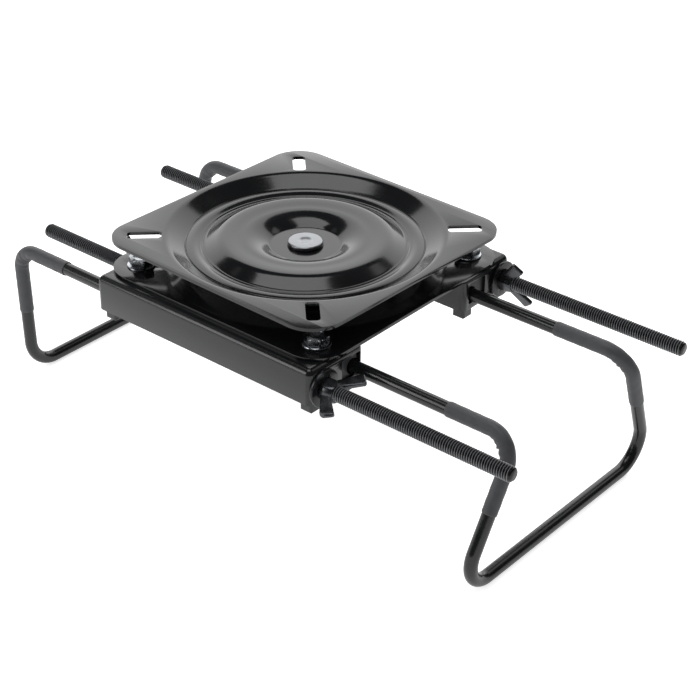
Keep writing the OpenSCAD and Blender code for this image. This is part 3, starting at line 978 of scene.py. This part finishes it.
    def plate(self, name: str, place: Matrix) -> bpy.types.Object:
        """Press one plate.

        Args:
            name: The piece's name.
            place: Carries the plate, seat side up at height zero, to its place in millimetres.

        Returns:
            The plate.
        """
        section = self.section()
        n = len(section)
        points: list[Vector] = []
        faces: list[list[int]] = []
        for k in range(self.round_steps):
            a = math.tau * k / self.round_steps
            points += [Vector((r * math.cos(a), r * math.sin(a), z)) for r, z in section]
            on = (k + 1) % self.round_steps
            faces += [[k * n + i, k * n + i + 1, on * n + i + 1, on * n + i] for i in range(n - 1)]
        mesh = joined(name, [mesh_from("dish", points, faces), self.rim()])
        shape = bmesh.new()
        shape.from_mesh(mesh)
        bmesh.ops.remove_doubles(shape, verts=shape.verts, dist=self.seam_mm * MM)
        bmesh.ops.recalc_face_normals(shape, faces=shape.faces)
        if sum(face.normal.z * face.calc_area() for face in shape.faces) < 0:
            bmesh.ops.reverse_faces(shape, faces=shape.faces)
        shape.to_mesh(mesh)
        shape.free()
        piece = add_object(name, mesh)
        wall = piece.modifiers.new("sheet", "SOLIDIFY")
        wall.thickness = self.sheet * MM
        wall.offset = -1
        wall.use_even_offset = True
        edge = piece.modifiers.new("pressed_edge", "BEVEL")
        edge.width = self.pressed_edge * MM
        edge.segments = 3
        edge.limit_method = "ANGLE"
        edge.angle_limit = math.radians(self.edge_deg)
        settle(piece, self.smooth_deg)
        piece.data.transform(in_metres(place))
        if place.determinant() < 0:
            piece.data.flip_normals()
        piece.data.materials.clear()
        return piece

    def build(self) -> None:
        """Press both plates and put them in their places."""
        turn = Matrix.Rotation(math.radians(self.seat_turn_deg), 4, "Z")
        adopt(self.plate("seat_plate", turn), "top_plate", PLATE_ENAMEL)
        over = Matrix.Translation((0, 0, -self.swivel_h)) @ Matrix.Scale(-1, 4, (0, 0, 1))
        adopt(self.plate("base_plate", over), "bottom_plate", PLATE_ENAMEL)


@dataclass
class BallRace:
    """The ring of balls between the plates, laid out by Geometry Nodes, and its cage."""

    count: int = 24
    ring_r: float = 66.5
    ball_d: float = 3.97
    height: float = -10.5
    ball_segments: int = 20
    ball_rings: int = 12

    def build(self) -> None:
        """Lay the balls and dress the cage."""
        recipe = NodeRecipe(
            "ball_ring",
            {
                "Count": self.count,
                "Ring Radius": self.ring_r * MM,
                "Ball Radius": self.ball_d / 2 * MM,
                "Height": self.height * MM,
            },
            BALL_STEEL.material(),
        )
        tree = recipe.tree
        ring = add_node(
            tree,
            "GeometryNodeMeshCircle",
            {"Vertices": recipe.size("Count"), "Radius": recipe.size("Ring Radius")},
        )
        up = add_node(tree, "ShaderNodeCombineXYZ", {2: recipe.size("Height")})
        raised = add_node(
            tree, "GeometryNodeSetPosition", {"Geometry": ring.outputs[0], "Offset": up.outputs[0]}
        )
        ball = add_node(
            tree,
            "GeometryNodeMeshUVSphere",
            {
                "Segments": self.ball_segments,
                "Rings": self.ball_rings,
                "Radius": recipe.size("Ball Radius"),
            },
        )
        laid = add_node(
            tree,
            "GeometryNodeInstanceOnPoints",
            {"Points": raised.outputs[0], "Instance": ball.outputs[0]},
        )
        balls = add_object("race_balls", recipe.bake("race_balls", laid.outputs[0]))
        settle(balls, smooth_deg=60)
        adopt(balls, "bearing_balls", BALL_STEEL)
        StoodNode("ball_cage", CAGE_NYLON, edge_mm=0.25).build()


@dataclass(frozen=True)
class HookShape:
    """The sizes of one hook: its threaded tips, its two upper corners and its bar below."""

    tips: tuple[float, float]
    corner_x: float
    bar_x: float
    arm_y: float
    bar_y: float
    bend_r: float
    thread_l: float


@dataclass
class RodHooks:
    """The two bent rod hooks with their rolled threads."""

    left: HookShape = HookShape(
        tips=(213.5, 213.5),
        corner_x=-164.2,
        bar_x=-162.8,
        arm_y=82.4,
        bar_y=80.9,
        bend_r=14.3,
        thread_l=168.0,
    )
    right: HookShape = HookShape(
        tips=(-168.0, -175.0),
        corner_x=195.6,
        bar_x=189.3,
        arm_y=54.6,
        bar_y=92.8,
        bend_r=16.4,
        thread_l=150.0,
    )
    rod_r: float = 3.95
    crest_r: float = 4.5
    root_r: float = 3.4
    pitch: float = 1.5875
    chamfer: float = 1.2
    arm_z: float = -34.5
    bar_z: float = -120.9
    lower_bend_r: float = 18.0
    segments: int = 40
    # The rod reaches this far into the threaded length, which runs out just under its skin
    overlap: float = 1.0
    skin_t: float = 0.02
    # The thread's profile is a wave cut off flat at the root and the crest
    wave_h: float = 0.62
    wave_middle: float = 0.45
    runout_slope: float = 0.3
    rows_a_turn: int = 6
    points_round: int = 33
    # Share of the thread's depth above which the crests get a painted highlight
    painted_highlight_from: float = 0.7
    weld_mm: float = 0.004

    def at(self, end: End) -> HookShape:
        """Give the hook whose bar is at an end."""
        return self.left if end is End.LEFT else self.right

    def through(self, end: End) -> HookShape:
        """Give the hook whose threaded arms stand out at an end."""
        return self.right if end is End.LEFT else self.left

    def thread(self, tip: Vector, inward: int, length: float) -> bpy.types.Mesh:
        """Roll one thread with Geometry Nodes: a grid wound into a helix.

        Args:
            tip: Middle of the arm's end in millimetres.
            inward: Sign of X from the tip along the arm.
            length: Length of thread.

        Returns:
            The threaded length, in its place.
        """
        turns = math.floor(length / self.pitch) + 1
        recipe = NodeRecipe(
            "rolled_thread",
            {
                "Rows": turns * self.rows_a_turn + 1,
                "Turns": turns,
                "Length": length * MM,
                "Pitch": self.pitch * MM,
                "Crest Radius": self.crest_r * MM,
                "Root Radius": self.root_r * MM,
                "Rod Radius": (self.rod_r - self.skin_t) * MM,
                "Chamfer": self.chamfer * MM,
            },
            THREAD_ENAMEL.material(),
        )
        tree, size, maths = recipe.tree, recipe.size, recipe.maths
        sheet = add_node(
            tree,
            "GeometryNodeMeshGrid",
            {
                "Size X": 1.0,
                "Size Y": 1.0,
                "Vertices X": size("Rows"),
                "Vertices Y": self.points_round,
            },
        )
        place = add_node(
            tree, "ShaderNodeSeparateXYZ", {0: add_node(tree, "GeometryNodeInputPosition").outputs[0]}
        )
        along = maths("ADD", place.outputs[0], 0.5)
        around = maths("ADD", place.outputs[1], 0.5)
        phase = maths("MULTIPLY", along, size("Turns"))
        wave = maths("COSINE", maths("MULTIPLY", phase, math.tau))
        fat = maths("MULTIPLY_ADD", wave, self.wave_h, self.wave_middle)
        fat = maths("MINIMUM", maths("MAXIMUM", fat, 0.0), 1.0)
        deep = maths("SUBTRACT", size("Crest Radius"), size("Root Radius"))
        radius = maths("MULTIPLY_ADD", fat, deep, size("Root Radius"))
        wound = maths("SUBTRACT", maths("ADD", phase, around), 1.0)
        far = maths("MULTIPLY", wound, size("Pitch"))
        far = maths("MINIMUM", maths("MAXIMUM", far, 0.0), size("Length"))
        nose = maths("ADD", maths("SUBTRACT", size("Crest Radius"), size("Chamfer")), far)
        left = maths("SUBTRACT", size("Length"), far)
        runout = maths("MULTIPLY_ADD", left, self.runout_slope, size("Rod Radius"))
        radius = maths("MINIMUM", maths("MINIMUM", radius, nose), runout)
        turn = maths("MULTIPLY", around, math.tau)
        to = add_node(
            tree,
            "ShaderNodeCombineXYZ",
            {
                0: far,
                1: maths("MULTIPLY", radius, maths("COSINE", turn)),
                2: maths("MULTIPLY", radius, maths("SINE", turn)),
            },
        )
        moved = add_node(
            tree, "GeometryNodeSetPosition", {"Geometry": sheet.outputs[0], "Position": to.outputs[0]}
        )
        mesh = recipe.bake("thread", moved.outputs[0])
        shape = bmesh.new()
        shape.from_mesh(mesh)
        bmesh.ops.remove_doubles(shape, verts=shape.verts, dist=self.weld_mm * MM)
        ends = [e for e in shape.edges if len(e.link_faces) == 1]
        bmesh.ops.holes_fill(shape, edges=ends, sides=0)
        # The crest attribute rises from 0 in the roots to 1 on the crests and places the painted
        # highlight
        crest = shape.verts.layers.float.new("crest")
        for vert in shape.verts:
            height = math.hypot(vert.co.y, vert.co.z) / MM - self.root_r
            share = height / (self.crest_r - self.root_r)
            vert[crest] = smooth_step((share - self.painted_highlight_from) / (1 - self.painted_highlight_from))
        turned = Matrix.Rotation(0 if inward > 0 else math.pi, 4, "Z")
        shape.transform(Matrix.Translation(tip * MM) @ turned)
        bmesh.ops.recalc_face_normals(shape, faces=shape.faces)
        shape.to_mesh(mesh)
        shape.free()
        return mesh

    def hook(self, name: str, hook_node: str, shape: HookShape) -> None:
        """Bend one hook and roll its threads.

        Args:
            name: The rod's name.
            hook_node: The CAD node that it replaces.
            shape: The hook's sizes.
        """
        inward = -1 if shape.tips[0] > shape.corner_x else 1
        start, end = (tip + inward * (shape.thread_l - self.overlap) for tip in shape.tips)
        corners = [
            Vector((start, -shape.arm_y, self.arm_z)),
            Vector((shape.corner_x, -shape.arm_y, self.arm_z)),
            Vector((shape.bar_x, -shape.bar_y, self.bar_z)),
            Vector((shape.bar_x, shape.bar_y, self.bar_z)),
            Vector((shape.corner_x, shape.arm_y, self.arm_z)),
            Vector((end, shape.arm_y, self.arm_z)),
        ]
        bends = [shape.bend_r, self.lower_bend_r, self.lower_bend_r, shape.bend_r]
        path = bent_path(corners, bends)
        rings, _ = swept(path, lambda far, turn: self.rod_r, self.segments, Vector((0, 0, 1)))
        for tip, side in zip(shape.tips, Side):
            place = Vector((tip, side.value * shape.arm_y, self.arm_z))
            cut = self.thread(place, inward, shape.thread_l)
            rolled = add_object(f"{name}_{side.name.lower()}_thread", cut)
            settle(rolled, smooth_deg=62)
            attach(rolled, body_of_node(hook_node))
        piece = add_object(name, skin("rod", rings, closed=False))
        settle(piece, smooth_deg=50)
        adopt(piece, hook_node, ROD_ENAMEL)

    def build(self) -> None:
        """Bend both hooks."""
        self.hook("left_rod", "left_hook", self.left)
        self.hook("right_rod", "right_hook", self.right)


@dataclass
class Sleeves:
    """The soft tubes on the hooks' upper bends, gathered and creased inside each bend."""

    hooks: RodHooks
    wall: float = 0.35
    clearance: float = 0.1
    left_run: float = 43.8
    left_drop: float = 45.0
    right_front_run: float = 45.2
    right_front_drop: float = 39.5
    right_rear_run: float = 50.5
    right_rear_drop: float = 38.0
    segments: int = 56
    # Folds across the bend's inner side, deepest at its middle
    fold_h: float = 0.3
    fold_pitch: float = 4.6
    fold_reach: float = 8.0
    fold_phase: float = 0.5
    fold_turn: float = 0.35
    # The bunch of tube in the bend's middle, and the split that opens beside it
    bunch_h: float = 1.1
    bunch_reach: float = 4.0
    split_depth: float = 1.9
    split_offset: float = 0.6
    split_reach: float = 0.9
    # Slow ripples all over, and the lip and rounding of the cut ends
    ripple_h: float = 0.04
    ripple_rate: float = 0.8
    ripple_twist: float = 1.7
    lip_h: float = 0.1
    lip_reach: float = 1.0
    end_round: float = 0.2
    least_wall: float = 0.12

    def lengths(self, side: Side, end: End) -> tuple[float, float]:
        """Give a sleeve's length along the arm and its drop down the leg.

        Args:
            side: Side of the bracket.
            end: End of the bracket.

        Returns:
            The length from the hook's corner along the arm, and the drop from the arm.
        """
        if end is End.LEFT:
            return self.left_run, self.left_drop
        if side is Side.FRONT:
            return self.right_front_run, self.right_front_drop
        return self.right_rear_run, self.right_rear_drop

    def sleeve(self, name: str, side: Side, end: End) -> bpy.types.Object:
        """Make one sleeve.

        Args:
            name: The piece's name.
            side: Side of the bracket.
            end: End of the bracket.

        Returns:
            The sleeve.
        """
        run, drop = self.lengths(side, end)
        hook = self.hooks.at(end)
        corner = Vector((hook.corner_x, side.value * hook.arm_y, self.hooks.arm_z))
        foot = Vector((hook.bar_x, side.value * hook.bar_y, self.hooks.bar_z))
        start = corner - Vector((end.value * run, 0, 0))
        last = corner + (foot - corner) * drop / (corner.z - foot.z)
        path = bent_path([start, corner, last], [hook.bend_r], step_deg=1.5, straight_mm=0.9)
        length = sum((b - a).length for a, b in zip(path, path[1:]))
        bore = self.hooks.rod_r + self.clearance
        outer = bore + self.wall
        half_turn = run - hook.bend_r + hook.bend_r * math.pi / 4
        fold_turn = self.fold_turn * side.value * end.value

        def hump(far: float, reach: float) -> float:
            """Give the height of a round hump, 1 at its middle, at a distance from there."""
            return math.exp(-((far / reach) ** 2))

        def outside(far: float, turn: float) -> float:
            """Give the outer face's radius: gathered inside the bend, with one split fold.

            Args:
                far: Distance along the tube.
                turn: Angle round it.

            Returns:
                The radius in millimetres.
            """
            inside = 0.5 - 0.5 * math.cos(turn - fold_turn)
            near = far - half_turn
            folds = math.cos(near * math.tau / self.fold_pitch + self.fold_phase)
            folds *= self.fold_h * hump(near, self.fold_reach)
            bunch = self.bunch_h * hump(near, self.bunch_reach) * inside**4
            split = self.split_depth * hump(near - self.split_offset, self.split_reach) * inside**6
            twist = self.ripple_twist * math.sin(turn * 2 + end.value)
            ripple = self.ripple_h * math.sin(far * self.ripple_rate + twist)
            left = length - far
            lip = self.lip_h * (hump(far, self.lip_reach) + hump(left, self.lip_reach))
            rounding = self.end_round - min(far, left, self.end_round)
            swell = bunch - split + folds * inside**2
            return max(outer + swell + ripple + lip - rounding, bore + self.least_wall)

        first_up = Vector((0, 0, 1))
        outer_rings, _ = swept(path, outside, self.segments, first_up)
        inner_rings, _ = swept(path, lambda far, turn: bore, self.segments, first_up)
        mesh = skin(name, list(outer_rings) + list(reversed(inner_rings)), closed=True)
        piece = add_object(name, mesh)
        settle(piece, smooth_deg=60)
        return piece

    def build(self) -> None:
        """Make the four sleeves."""
        for side in Side:
            for end in End:
                name = node_name(side, end, "sleeve")
                adopt(self.sleeve(name + "_vinyl", side, end), name, SLEEVE_VINYL)


@dataclass
class WingNuts:
    """The forged wing nuts on the threaded arms."""

    hooks: RodHooks
    bore_r: float = 4.54
    foot_r: float = 6.6
    nose_r: float = 5.8
    length: float = 8.5
    hub_edge: float = 0.7
    # Share of the foot's radius at which the hub's two sides are cut flat
    flat_share: float = 0.84
    wing_w: float = 8.0
    wing_t: float = 3.0
    reach: float = 15.3
    lift: float = 13.5
    # The wings start at this share of the hub's length, this far outside its bore
    root_share: float = 0.46
    root_gap: float = 0.2
    corner_r: float = 1.8
    edge_r: float = 0.8
    # Widths and thicknesses at the root and the tip, as shares of wing_w and wing_t
    root_w_share: float = 0.66
    tip_w_share: float = 1.08
    root_t_share: float = 1.2
    tip_t_share: float = 0.85
    # Share of the wing's length over which it thins, and the thickness left at its rounded edge
    thinning_share: float = 0.8
    edge_t_share: float = 0.35
    least_half_w: float = 0.4
    # How square the wing's section is across its width and thickness: powers of a superellipse
    square_w: float = 0.22
    square_t: float = 0.3
    rows: int = 26
    points_round: int = 32
    washer_t: float = 2.2
    gap: float = 0.05
    pan_ends: tuple[float, float] = (-83.0, 85.0)

    def hub(self, place: Matrix) -> bpy.types.Mesh:
        """Turn the tapered hub and cut its two flats.

        Args:
            place: Carries the nut, standing along Z at the origin, to its place.

        Returns:
            The hub.
        """
        edge = self.hub_edge
        section = [
            (self.bore_r + 0.5, 0.0),
            (self.foot_r - edge, 0.0),
            (self.foot_r - edge * 0.3, edge * 0.3),
            (self.foot_r, edge),
            (self.foot_r, self.length * 0.45),
            (self.foot_r - 0.25, self.length * 0.6),
            (self.nose_r + 0.1, self.length - edge),
            (self.nose_r - 0.15, self.length - 0.2),
            (self.nose_r - 0.45, self.length),
            (self.bore_r + 0.35, self.length),
            (self.bore_r, self.length - 0.4),
            (self.bore_r, 0.5),
        ]
        turned = lathed("hub", section, 64, Matrix.Identity(4))
        flat = self.foot_r * self.flat_share * MM
        for vert in turned.vertices:
            vert.co.x = max(min(vert.co.x, flat), -flat)
        turned.transform(in_metres(place))
        return turned

    def wing(self, place: Matrix, flip: int) -> bpy.types.Mesh:
        """Forge one wing: a flat paddle that grows out of the hub and ends round.

        Args:
            place: Carries the nut, standing along Z at the origin, to its place.
            flip: 1 or -1 for the two wings.

        Returns:
            The wing.
        """
        root = Vector((self.bore_r + self.root_gap, self.length * self.root_share))
        tip = Vector((self.reach, self.lift))
        way = (tip - root).normalized()
        across = Vector((-way.y, way.x))
        corner = self.corner_r
        span = (tip - root).length + self.wing_w / 2 - corner
        spread = self.tip_w_share - self.root_w_share
        thinning = self.root_t_share - self.tip_t_share
        rings: list[list[Vector]] = []
        for i in range(self.rows + 1):
            far = span * (1 - (1 - i / self.rows) ** 2)
            left = span - far
            drop = corner - math.sqrt(max(corner**2 - max(corner - left, 0.0) ** 2, 0.0))
            width = self.wing_w / 2 * (self.root_w_share + spread * far / span) - drop
            width = max(width, self.least_half_w)
            thick = self.root_t_share - thinning * smooth_step(far / (span * self.thinning_share))
            full = math.sqrt(min(left / self.edge_r, 1.0))
            thick *= self.wing_t / 2 * (self.edge_t_share + (1 - self.edge_t_share) * full)
            middle = root + way * far
            ring: list[Vector] = []
            for k in range(self.points_round):
                a = math.tau * (k + 0.5) / self.points_round
                c, n = math.cos(a), math.sin(a)
                flat = middle + across * math.copysign(abs(c) ** self.square_w, c) * width
                side = math.copysign(abs(n) ** self.square_t, n) * thick
                ring.append(place @ Vector((flip * side, flip * flat.x, flat.y)))
            rings.append(ring)
        return skin("wing", rings, closed=False)

    def nut(self, name: str, side: Side, end: End, turn_deg: float) -> bpy.types.Object:
        """Forge one wing nut on its arm. The wings' edges keep to the CAD's reach in Y.

        Args:
            name: The piece's name.
            side: Side of the bracket.
            end: End of the bracket.
            turn_deg: How far the nut is turned about its arm.

        Returns:
            The nut.
        """
        pan_x = self.pan_ends[0] if end is End.LEFT else self.pan_ends[1]
        x = pan_x + end.value * (self.washer_t + self.gap)
        place = (
            Matrix.Translation((x, side.value * self.hooks.through(end).arm_y, self.hooks.arm_z))
            @ Matrix.Rotation(math.radians(end.value * 90), 4, "Y")
            @ Matrix.Rotation(math.radians(-end.value * turn_deg), 4, "Z")
        )
        mesh = joined(name, [self.hub(place), self.wing(place, 1), self.wing(place, -1)])
        for vert in mesh.vertices:
            vert.co.y = max(min(vert.co.y, CAD_BOX[1][1]), CAD_BOX[0][1])
        piece = add_object(name, mesh)
        settle(piece, smooth_deg=38)
        return piece

    def build(self) -> None:
        """Forge the four nuts."""
        turns = {
            (Side.FRONT, End.RIGHT): -14.4,
            (Side.REAR, End.RIGHT): 65.0,
            (Side.FRONT, End.LEFT): 96.0,
            (Side.REAR, End.LEFT): 80.0,
        }
        for (side, end), turn in turns.items():
            name = node_name(side, end, "wing_nut")
            adopt(self.nut(name + "_forged", side, end, turn), name, NUT_METAL)


@dataclass
class PivotRivet:
    """The tubular rivet through the plates' middle: two rounded heads and a peened dimple."""

    head_r: float = 10.5
    head_h: float = 1.5
    # Share of a head's height that its rounded edge takes
    edge_share: float = 0.7
    shank_r: float = 6.0
    land_r: float = 6.0
    dimple_r: float = 4.6
    dimple_depth: float = 0.6
    # Share of the dimple's radius that its sloping side takes
    dimple_slope: float = 0.6
    dimple_steps: int = 16
    edge_steps: int = 8
    segments: int = 96

    def build(self) -> None:
        """Turn the rivet between the heights that the CAD rivet has."""
        low, high = (corner[2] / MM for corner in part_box("pivot_rivet"))
        edge = self.head_h * self.edge_share
        upper: list[tuple[float, float]] = []
        for i in range(self.edge_steps + 1):
            turn = math.pi / 2 * i / self.edge_steps
            out, up = edge * math.cos(turn), edge * math.sin(turn)
            upper.append((self.head_r - edge + out, high - edge + up))
        lower = [(r, low + high - z) for r, z in reversed(upper)]
        dimple: list[tuple[float, float]] = []
        for i in range(self.dimple_steps):
            share = i / self.dimple_steps
            sunk = self.dimple_depth * smooth_step(share / self.dimple_slope)
            dimple.append((self.dimple_r * (1 - share), high - sunk))
        section = [(AXIS_R, low), (self.shank_r, low), *lower]
        section += [(self.head_r, low + self.head_h), (self.shank_r, low + self.head_h)]
        section += [(self.shank_r, high - self.head_h), (self.head_r, high - self.head_h)]
        section += [*upper, (self.land_r, high), *dimple, (AXIS_R, high - self.dimple_depth)]
        turned = lathed("rivet", section, self.segments, Matrix.Identity(4))
        piece = add_object("peened_rivet", turned)
        settle(piece, smooth_deg=50)
        adopt(piece, "pivot_rivet", PEENED_ZINC)


@dataclass
class FlangeBolt:
    """A cold-headed hexagon bolt with a round flange, where the CAD bolt stands."""

    node_name: str
    flats: float = 13.0
    head_h: float = 4.2
    flange_r: float = 8.4
    flange_t: float = 1.6
    shank_r: float = 3.9
    point_chamfer: float = 0.8
    chamfer: float = 0.6
    # Growth of the chamfer cone's radius for each millimetre down from the head's top
    cone_slope: float = 2.0
    dish_r: float = 4.6
    dish_depth: float = 0.45
    head_steps: int = 14
    segments: int = 96

    def build(self) -> None:
        """Turn the shank and the flange, and forge the head."""
        stood = [vert.co / MM for vert in frame["nodes"][self.node_name].data.vertices]
        low = Vector(min(p[axis] for p in stood) for axis in range(3))
        high = Vector(max(p[axis] for p in stood) for axis in range(3))
        seat = high.z - self.head_h - self.flange_t
        centre = Vector(((low.x + high.x) / 2, (low.y + high.y) / 2, seat))
        point, rim, top = low.z - seat, self.flange_r, self.flange_t
        foot = [(point, self.shank_r - self.point_chamfer), (point + self.point_chamfer, self.shank_r)]
        foot += [(-0.01, self.shank_r), (0.0, rim - 0.3), (0.25, rim), (0.7, rim), (0.95, rim - 0.2)]
        foot += [(1.1, rim - 0.6), (top, self.flats * 0.53)]
        rise = self.head_h / self.head_steps
        head = [(top + rise * i, self.flats) for i in range(self.head_steps)]
        head.append((top + self.head_h, self.flats / math.sqrt(3) - self.chamfer))
        dish = top + self.head_h - self.dish_depth
        crown = [(top + self.head_h, self.dish_r), (top + self.head_h - 0.2, self.dish_r - 0.25)]
        crown += [(dish, self.dish_r - 0.9), (dish, 0.6)]
        rings = [self.ring(centre, z, r) for z, r in foot + head + crown]
        piece = add_object(self.node_name + "_forged", skin("bolt", rings, closed=False))
        settle(piece, smooth_deg=30)
        adopt(piece, self.node_name, ZINC_PLATE)

    def ring(self, centre: Vector, z: float, largest: float) -> list[Vector]:
        """Draw one ring of the bolt: a circle, or the hexagon where that is smaller.

        Args:
            centre: Where the bolt's axis meets its seat.
            z: Height above the seat.
            largest: The circle's radius.

        Returns:
            The ring's points.
        """
        head_z = z - self.flange_t
        cone = self.flats / math.sqrt(3) - self.chamfer + self.cone_slope * (self.head_h - head_z)
        found: list[Vector] = []
        for k in range(self.segments):
            turn = math.tau * k / self.segments
            side = self.flats / 2 / math.cos((turn + math.pi / 6) % (math.pi / 3) - math.pi / 6)
            r = min(largest, side, cone) if head_z >= 0 and largest > self.flats / 2 else largest
            found.append(centre + Vector((r * math.cos(turn), r * math.sin(turn), z)))
        return found


@dataclass
class Hardware:
    """The pans, end blocks, bolts, nuts, washers and pivot, each where its CAD node stands."""

    pan_edge: float = 0.8
    block_edge: float = 1.1
    washer_edge: float = 0.5
    nut_edge: float = 0.3
    thrust_edge: float = 0.2

    def build(self) -> None:
        """Dress each piece."""
        StoodNode("front_pan", PAN_ENAMEL, self.pan_edge).build()
        StoodNode("rear_pan", PAN_ENAMEL, self.pan_edge).build()
        PivotRivet().build()
        StoodNode("thrust_washer", WASHER_BLACK, self.thrust_edge).build()
        for side in Side:
            for end in End:
                StoodNode(node_name(side, end, "block"), BLOCK_PLASTIC, self.block_edge).build()
                FlangeBolt(node_name(side, end, "bolt")).build()
                StoodNode(node_name(side, end, "bolt_nut"), ZINC_PLATE, self.nut_edge).build()
                StoodNode(node_name(side, end, "washer"), WASHER_BLACK, self.washer_edge).build()


@dataclass
class Studio:
    """The pale floor, the lamps and the camera."""

    target_mm: tuple[float, float, float] = (43.88, -10.11, -59.77)
    distance_mm: float = 1082.14
    azimuth_deg: float = 129.836
    elevation_deg: float = 30.972
    roll_deg: float = 0.659
    lens_mm: float = 93.99
    sensor_mm: float = 36.0
    floor_side_m: float = 12.0
    floor_hex: str = "f4f4f4"
    floor_glow: float = 0.72
    floor_in_gloss: float = 0.5
    room_light: float = 0.35
    room_in_gloss: float = 0.04

    def build(self) -> None:
        """Make everything that isn't the bracket."""
        self.camera()
        self.floor()
        self.world()
        self.lamps()
        bpy.context.scene.view_settings.view_transform = "Standard"

    def camera(self) -> None:
        """Place the camera at the picture's viewpoint."""
        ahead = direction(self.azimuth_deg, -self.elevation_deg)
        level = ahead.cross(Vector((0, 0, 1))).normalized()
        up = level.cross(ahead)
        roll = math.radians(self.roll_deg)
        right = level * math.cos(roll) + up * math.sin(roll)
        true_up = right.cross(ahead)
        place = Vector(self.target_mm) * MM - ahead * self.distance_mm * MM
        lens = bpy.data.cameras.new("camera")
        lens.lens = self.lens_mm
        lens.sensor_width = self.sensor_mm
        lens.clip_start = 0.05
        held = add_object("camera", lens)
        rotation = Matrix((right, true_up, -ahead)).transposed().to_4x4()
        held.matrix_world = Matrix.Translation(place) @ rotation
        bpy.context.scene.camera = held

    def floor(self) -> None:
        """Lay the floor under the hooks' bars, white to the eye but still taking shadows."""
        half = self.floor_side_m / 2
        low = CAD_BOX[0][2]
        mesh = bpy.data.meshes.new("floor")
        corners = [(-half, -half, low), (half, -half, low), (half, half, low), (-half, half, low)]
        mesh.from_pydata(corners, [], [(0, 1, 2, 3)])
        laid = add_object("floor", mesh)
        made = bpy.data.materials.new("white_sweep")
        made.use_nodes = True
        tree = made.node_tree
        tree.nodes.clear()
        path = add_node(tree, "ShaderNodeLightPath")
        to_gloss = add_node(
            tree,
            "ShaderNodeMath",
            {0: path.outputs["Is Glossy Ray"], 1: self.floor_in_gloss},
            operation="MULTIPLY",
        )
        part = add_node(
            tree,
            "ShaderNodeMath",
            {0: path.outputs["Is Camera Ray"], 1: self.floor_glow, 2: to_gloss.outputs[0]},
            operation="MULTIPLY_ADD",
        )
        diffuse = add_node(tree, "ShaderNodeBsdfDiffuse", {"Color": linear(self.floor_hex)})
        glow = add_node(
            tree, "ShaderNodeEmission", {"Color": (1, 1, 1, 1), "Strength": part.outputs[0]}
        )
        both = add_node(tree, "ShaderNodeAddShader", {0: diffuse.outputs[0], 1: glow.outputs[0]})
        add_node(tree, "ShaderNodeOutputMaterial", {"Surface": both.outputs[0]})
        mesh.materials.append(made)

    def world(self) -> None:
        """Fill the room with a low even light, white to the eye and dark in the gloss."""
        room = bpy.data.worlds.new("studio")
        bpy.context.scene.world = room
        room.use_nodes = True
        tree = room.node_tree
        tree.nodes.clear()
        path = add_node(tree, "ShaderNodeLightPath")
        in_gloss = add_node(
            tree,
            "ShaderNodeMix",
            {
                0: path.outputs["Is Glossy Ray"],
                MIX_NUMBER_A: self.room_light,
                MIX_NUMBER_B: self.room_in_gloss,
            },
            data_type="FLOAT",
        )
        to_eye = add_node(
            tree,
            "ShaderNodeMix",
            {
                0: path.outputs["Is Camera Ray"],
                MIX_NUMBER_A: in_gloss.outputs[0],
                MIX_NUMBER_B: 1.0,
            },
            data_type="FLOAT",
        )
        glow = add_node(
            tree, "ShaderNodeBackground", {"Color": (1, 1, 1, 1), "Strength": to_eye.outputs[0]}
        )
        add_node(tree, "ShaderNodeOutputWorld", {"Surface": glow.outputs[0]})

    def lamps(self) -> None:
        """Hang the soft boxes, each facing the bracket."""
        self.soft_box("back_box", 129.8, 24.0, away=1.6, size=(2.9, 1.2), strength=1.85)
        self.soft_box("top_box", 220.0, 83.0, away=1.4, size=(0.84, 0.92), strength=2.8)
        self.soft_box("left_box", 200.0, 40.0, away=1.7, size=(0.7, 0.7), strength=0.25)
        self.soft_box("front_box", 236.0, 20.0, away=1.6, size=(0.6, 0.85), strength=3.6)
        self.soft_box("right_box", 67.0, 39.0, away=1.7, size=(0.7, 0.7), strength=1.0)

    def soft_box(
        self,
        name: str,
        azimuth_deg: float,
        elevation_deg: float,
        away: float,
        size: tuple[float, float],
        strength: float,
    ) -> None:
        """Hang one soft box.

        Args:
            name: The lamp's name.
            azimuth_deg: Direction from the bracket to the lamp about Z, from +X.
            elevation_deg: Height of that direction above the floor.
            away: Distance in metres.
            size: Width and height in metres.
            strength: Radiance, where 1 is white.
        """
        way = direction(azimuth_deg, elevation_deg)
        lamp = bpy.data.lights.new(name, "AREA")
        lamp.shape = "RECTANGLE"
        lamp.size, lamp.size_y = size
        lamp.energy = strength * math.pi * size[0] * size[1]
        hung = add_object(name, lamp)
        turn = math.radians(azimuth_deg)
        level = Vector((-math.sin(turn), math.cos(turn), 0))
        facing = Matrix((level, way.cross(level), way)).transposed().to_4x4()
        hung.matrix_world = Matrix.Translation(way * away) @ facing


def main() -> None:
    """Build the bracket and its studio."""
    logging.basicConfig(level=logging.INFO, format="%(name)s: %(message)s")
    hooks = RodHooks()
    parts = (SwivelPlates(), BallRace(), hooks, Sleeves(hooks), WingNuts(hooks), Hardware())
    for part in parts:
        part.build()
        LOG.info("%s is built", type(part).__name__)
    Studio().build()


if __name__ == "__main__":
    main()
